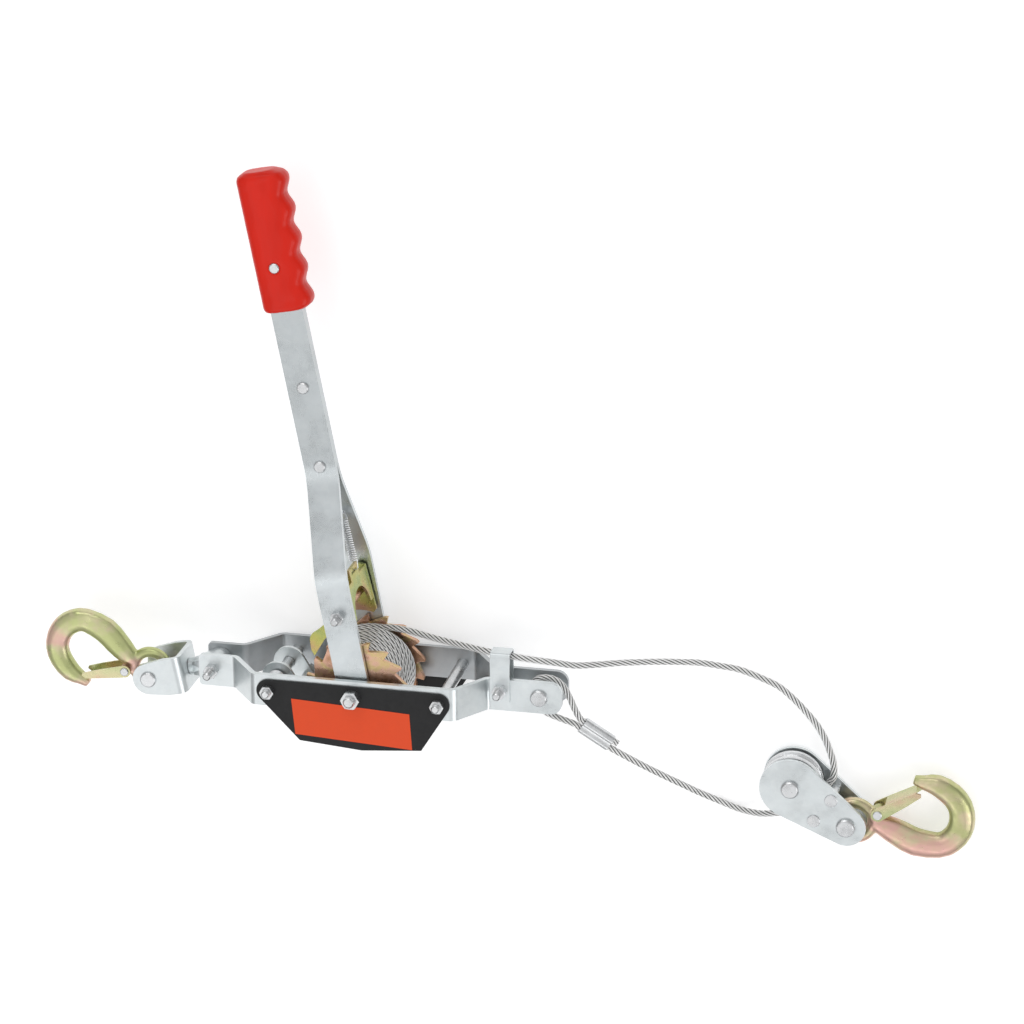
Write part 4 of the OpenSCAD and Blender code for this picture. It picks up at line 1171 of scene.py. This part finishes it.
@dataclass
class Ratchet:
    """Drum, wheels and pawls."""

    edge: float = 0.0005
    drum_edge: float = 0.0004

    def build(self) -> None:
        """Dress the drum and the pawls."""
        for node in ("front_ratchet", "rear_ratchet"):
            eased(node, COPPERED, self.edge)
        eased("drum_tube", BOLT, self.drum_edge)
        # The near-black inner layers are painted shade.
        eased("rope_inner_layers", LAYERS_PAINTED_SHADE, self.drum_edge)
        eased("drive_pawl", STAMPING, self.edge)
        eased("holding_pawl", PLATE, self.edge)


@dataclass
class Springs:
    """Extension spring of the drive pawl and torsion spring of the holding pawl.

    Sizes are in millimetres, but steps and the edge are in metres. Points of the first spring are
    given across and along the lever.
    """

    pawl_wire: float = 1.1
    pawl_coil_r: float = 2.7
    pawl_curls: int = 19
    pawl_low: Point = (8.2, 91.8, -3.0)
    pawl_high: Point = (4.6, 122.5, 6.2)
    strap_hole: tuple[float, float] = (3.8, 127.0)
    strap_z: float = 16.845
    holding_wire: float = 1.6
    holding_coil_r: float = 6.4
    holding_steps: int = 51
    holding_rise: tuple[float, float] = (18.7, 34.2)
    holding_angle: float = -33.5
    anchor_x: float = -65.0
    per_turn: int = 8
    pawl_step: float = 0.0004
    holding_step: float = 0.0005
    latch_edge: float = 0.00002
    sides: int = 10

    def in_handle(self, t: float, s: float, z: float) -> Vector:
        """A point of the lever in the row frame.

        Args:
            t: distance across the lever.
            s: distance along it from the axle.
            z: height about the winch's middle plane.

        Returns:
            The point in metres.
        """
        a = math.radians(HANDLE_TILT)
        x = t * math.cos(a) - s * math.sin(a)
        y = t * math.sin(a) + s * math.cos(a)
        return Vector((x, y, z + MID_MM)) * MM

    def pawl_path(self) -> list[Vector]:
        """Wire of the extension spring, with its hooks.

        Returns:
            Points along the wire in metres.
        """
        t0, s0 = self.strap_hole
        low = Vector(self.pawl_low)
        high = Vector(self.pawl_high) - Vector((0, 0, self.strap_z))
        ahead = (high - low).normalized()
        u = Vector((0, 0, 1)).cross(ahead).normalized()
        v = ahead.cross(u)
        count = self.pawl_curls * self.per_turn
        points = [
            (4.2, 84.6, -3), (6.2, 84.8, -3), (8.6, 84.9, -3),
            (10.1, 86, -3), (10.4, 88.4, -3), (10.6, 90.4, -3),
        ]
        for i in range(count + 1):
            a = math.radians(180 - 360 / self.per_turn * i)
            out = self.pawl_coil_r * (math.cos(a) * u + math.sin(a) * v)
            points.append(tuple(low.lerp(high, i / count) + out))
        points += [
            (t0 + 2.2, s0 - 2.6, 3.6 - self.strap_z),
            (t0 + 0.6, s0 - 0.6, 1.6 - self.strap_z),
            (t0, s0, -0.6 - self.strap_z),
            (t0, s0, -4.2 - self.strap_z),
        ]
        return [self.in_handle(*p) for p in points]

    def holding_path(self) -> list[Vector]:
        """Wire of the torsion spring, with its legs.

        Returns:
            Points along the wire in metres.
        """
        a0, steps = self.holding_angle - 90, self.holding_steps
        z0, z1 = self.holding_rise
        turn, radius = 360 / self.per_turn, self.holding_coil_r

        def at(i: float) -> Vector:
            """A point of the coil, counted in eighths of a turn."""
            a = math.radians(a0 - turn * i)
            return Vector((radius * math.cos(a), radius * math.sin(a), z0 + (z1 - z0) * i / steps))

        way0 = Vector((math.cos(math.radians(a0 + 90)), math.sin(math.radians(a0 + 90)), 0))
        a1 = math.radians(a0 - turn * steps)
        way1 = Vector((math.sin(a1), -math.cos(a1), 0))
        points = [at(0) + reach * way0 for reach in (17, 6)]
        points += [at(i) for i in range(steps + 1)]
        points += [at(steps) + reach * way1 for reach in (4, 10)]
        return [(p + Vector((self.anchor_x, 0, MID_MM))) * MM for p in points]

    def build(self) -> None:
        """Coil the two open springs and dress the small ones."""
        path = self.pawl_path()
        wire = round_section(self.pawl_wire / 2 * MM, self.sides)
        piece = swept("pawl_spring_coiled", flow(path, self.pawl_step), wire)
        settle(piece, None, WIRE, ["pawl_spring"])
        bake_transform(piece)
        wire = round_section(self.holding_wire / 2 * MM, self.sides)
        path = flow(self.holding_path(), self.holding_step)
        piece = swept("holding_spring_coiled", path, wire)
        settle(piece, "frame", WIRE, ["holding_spring"])
        for node in ("anchor_latch_spring", "load_latch_spring"):
            eased(node, WIRE, self.latch_edge, segments=1, angle=80, sharp=70)


@dataclass
class Threads:
    """Screw threads on the bolt ends that stand out of their nuts.

    A thread is a shank's radius and the rise of a turn.
    """

    ridge: float = 0.00032
    sink: float = 0.00008
    runout: float = 0.0006
    weld: float = 0.000005
    steps: int = 20
    m8: tuple[float, float] = (0.004, 0.00125)
    m6: tuple[float, float] = (0.003, 0.001)
    cross_at: tuple[float, float] = (-0.065, 0.066)
    pawl_bolt_at: float = 0.0618

    def cut(
        self, bolt: str, nut: str, centre: tuple[float, float], thread: tuple[float, float]
    ) -> None:
        """Wind one ridge up a bolt's end.

        Args:
            bolt: the bolt's node, whose top is where the thread ends.
            nut: the nut's node, whose top is where it starts.
            centre: the bolt's axis, in metres.
            thread: the shank's radius and the rise of a turn, in metres.
        """
        radius, pitch = thread
        start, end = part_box(nut)[1].z - pitch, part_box(bolt)[1].z - self.runout
        turns = int((end - start) / pitch)
        if turns < 1:
            return
        name = f"{bolt}_thread_{int(centre[0] * 1000 + 500)}"
        mesh = bpy.data.meshes.new(name)
        low, high = radius - self.sink, radius + self.ridge
        profile = [(low, 0, start), (high, 0, start + pitch / 2), (low, 0, start + pitch)]
        mesh.from_pydata(profile, [(0, 1), (1, 2)], [])
        obj = added(name, mesh)
        apply_modifier(
            obj,
            "SCREW",
            axis="Z",
            angle=math.tau,
            screw_offset=pitch,
            iterations=turns,
            steps=self.steps,
            render_steps=self.steps,
            use_merge_vertices=True,
            merge_threshold=self.weld * 2,
        )
        with editing(obj):
            bpy.ops.mesh.remove_doubles(threshold=self.weld)
            bpy.ops.mesh.normals_make_consistent(inside=False)
            bpy.ops.transform.translate(value=(centre[0], centre[1], 0))
        smooth_by_angle(obj, 30.0)
        settle(obj, body_of(bolt), BOLT)

    def build(self) -> None:
        """Thread every bolt end that shows."""
        a = math.radians(HANDLE_TILT)
        self.cut("axle_bolt", "axle_nut", (0.0, 0.0), self.m8)
        for x in self.cross_at:
            self.cut("cross_bolts", "cross_nuts", (x, 0.0), self.m6)
        for bolt, nut in (("swivel_bolt", "swivel_nut"), ("guide_bolt", "guide_nut")):
            low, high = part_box(nut)
            self.cut(bolt, nut, ((low.x + high.x) / 2, (low.y + high.y) / 2), self.m6)
        pivot = (-self.pawl_bolt_at * math.sin(a), self.pawl_bolt_at * math.cos(a))
        self.cut("pawl_bolt", "pawl_nut", pivot, self.m6)


@dataclass
class Tackle:
    """Swivel, clevis, hooks, latches and the pulley block."""

    edge: float = 0.0006
    pin_edge: float = 0.0004
    latch_edge: float = 0.0003
    hook_voxel: float = 0.0009
    hook_rounds: int = 8
    pins: tuple[str, ...] = (
        "clevis_pin", "sheave_pin", "hook_pin", "block_spacers", "sheave",
        "anchor_latch_rivet", "load_latch_rivet",
    )

    def build(self) -> None:
        """Dress the hooks and the block."""
        for node in ("swivel_stud", "clevis", "block_front_plate", "block_rear_plate"):
            eased(node, PLATE, self.edge)
        for node in self.pins:
            eased(node, BOLT, self.pin_edge)
        cast("anchor_hook", GREEN_HOOK, self.hook_voxel, self.hook_rounds)
        cast("load_hook", HOOK, self.hook_voxel, self.hook_rounds)
        for node in ("anchor_latch", "load_latch"):
            eased(node, LATCH, self.latch_edge)


# ---------------------------------------------------------------- studio


@dataclass
class Studio:
    """Camera, floor, world and lamps.

    right and back are the camera's own axes. backing is the floor's glow as camera and metal
    see it, and surround is the world's strength.
    """

    target: Point = (0.1134, 0.1411, MID_Z)
    distance: float = 2.5
    right: Point = (0.97592, -0.00344, -0.21810)
    back: Point = (0.20578, 0.34612, 0.91535)
    lens: float = 119.4
    sensor: float = 36.0
    clip: float = 100.0
    floor_at: Point = (0.1, 0.1, -0.0002)
    floor_side: float = 60.0
    floor_shade: float = 0.80
    backing: float = 0.46
    surround: float = 1.05
    lamp_reach: float = 3.0

    def camera(self) -> None:
        """Set the camera."""
        data = bpy.data.cameras.new("view")
        data.lens = self.lens
        data.sensor_width = self.sensor
        data.clip_end = self.clip
        cam = added("view", data)
        back = Vector(self.back).normalized()
        right = Vector(self.right)
        right = (right - back * right.dot(back)).normalized()
        up = back.cross(right)
        cam.rotation_mode = "QUATERNION"
        cam.rotation_quaternion = Matrix((right, up, back)).transposed().to_quaternion()
        cam.location = Vector(self.target) + back * self.distance
        bpy.context.scene.camera = cam

    def floor(self) -> None:
        """A pale floor that keeps the object's shadow."""
        bpy.ops.mesh.primitive_plane_add(size=self.floor_side, location=self.floor_at)
        obj = bpy.context.object
        obj.name = "floor"
        sheet = Sheet("floor")
        sheet.put("Base Color", (*(self.floor_shade,) * 3, 1))
        sheet.put("Roughness", 0.8)
        path = sheet.node("LightPath")
        seen = sheet.math("MAXIMUM", path.outputs["Is Camera Ray"], path.outputs["Is Glossy Ray"])
        seen = sheet.math("MAXIMUM", seen, path.outputs["Is Transmission Ray"])
        sheet.put("Emission Color", (1, 1, 1, 1))
        sheet.put("Emission Strength", sheet.math("MULTIPLY", seen, self.backing))
        obj.data.materials.append(sheet.material)

    def world(self) -> None:
        """A surround that is bright overhead and grey at the horizon, as a studio tent is."""
        world = bpy.data.worlds.new("surround")
        bpy.context.scene.world = world
        world.use_nodes = True
        tree = world.node_tree
        tree.nodes.clear()
        coords, split, ramp, back, out = (
            tree.nodes.new("ShaderNode" + kind)
            for kind in ("TexCoord", "SeparateXYZ", "ValToRGB", "Background", "OutputWorld")
        )
        tree.links.new(coords.outputs["Generated"], split.inputs[0])
        tree.links.new(split.outputs[2], ramp.inputs[0])
        tree.links.new(ramp.outputs[0], back.inputs["Color"])
        tree.links.new(back.outputs[0], out.inputs[0])
        ramp.color_ramp.elements[0].color = (0.26, 0.265, 0.27, 1)
        for at, grey in ((0.28, 0.36), (0.62, 0.60), (0.86, 0.66)):
            stop = ramp.color_ramp.elements.new(at)
            stop.color = (grey, grey, grey * 1.01, 1)
        ramp.color_ramp.elements[-1].color = (0.70, 0.70, 0.705, 1)
        back.inputs["Strength"].default_value = self.surround

    def lamp(self, name: str, way: Point, size: tuple[float, float], glow: float) -> None:
        """A soft lamp aimed at the winch.

        Args:
            name: the lamp's name.
            way: the direction in which it stands.
            size: its sides in metres.
            glow: its radiance.
        """
        at = Vector(self.target) + Vector(way).normalized() * self.lamp_reach
        data = bpy.data.lights.new(name, "AREA")
        data.shape = "RECTANGLE"
        data.size, data.size_y = size
        data.energy = glow * math.pi * size[0] * size[1]
        obj = added(name, data)
        obj.location = at
        obj.rotation_mode = "QUATERNION"
        obj.rotation_quaternion = (at - Vector(self.target)).to_track_quat("Z", "Y")

    def build(self) -> None:
        """Set the scene."""
        self.camera()
        self.floor()
        self.world()
        self.lamp("overhead", (-0.29, 0.12, 0.95), (3.0, 0.5), 1.05)
        self.lamp("front", (-0.20, -0.64, 0.74), (3.2, 0.9), 1.1)
        self.lamp("right", (0.72, -0.30, 0.62), (1.5, 1.5), 2.2)
        self.lamp("back", (-0.25, 0.85, 0.48), (2.4, 0.9), 1.9)
        bpy.context.scene.view_settings.view_transform = "Standard"


def main() -> None:
    """Build the scene, piece by piece."""
    for part in (Studio(), Rope(), Winch(), Lever(), Ratchet(), Springs(), Threads(), Tackle()):
        log.info("building %s", type(part).__name__)
        part.build()


if __name__ == "__main__":
    main()
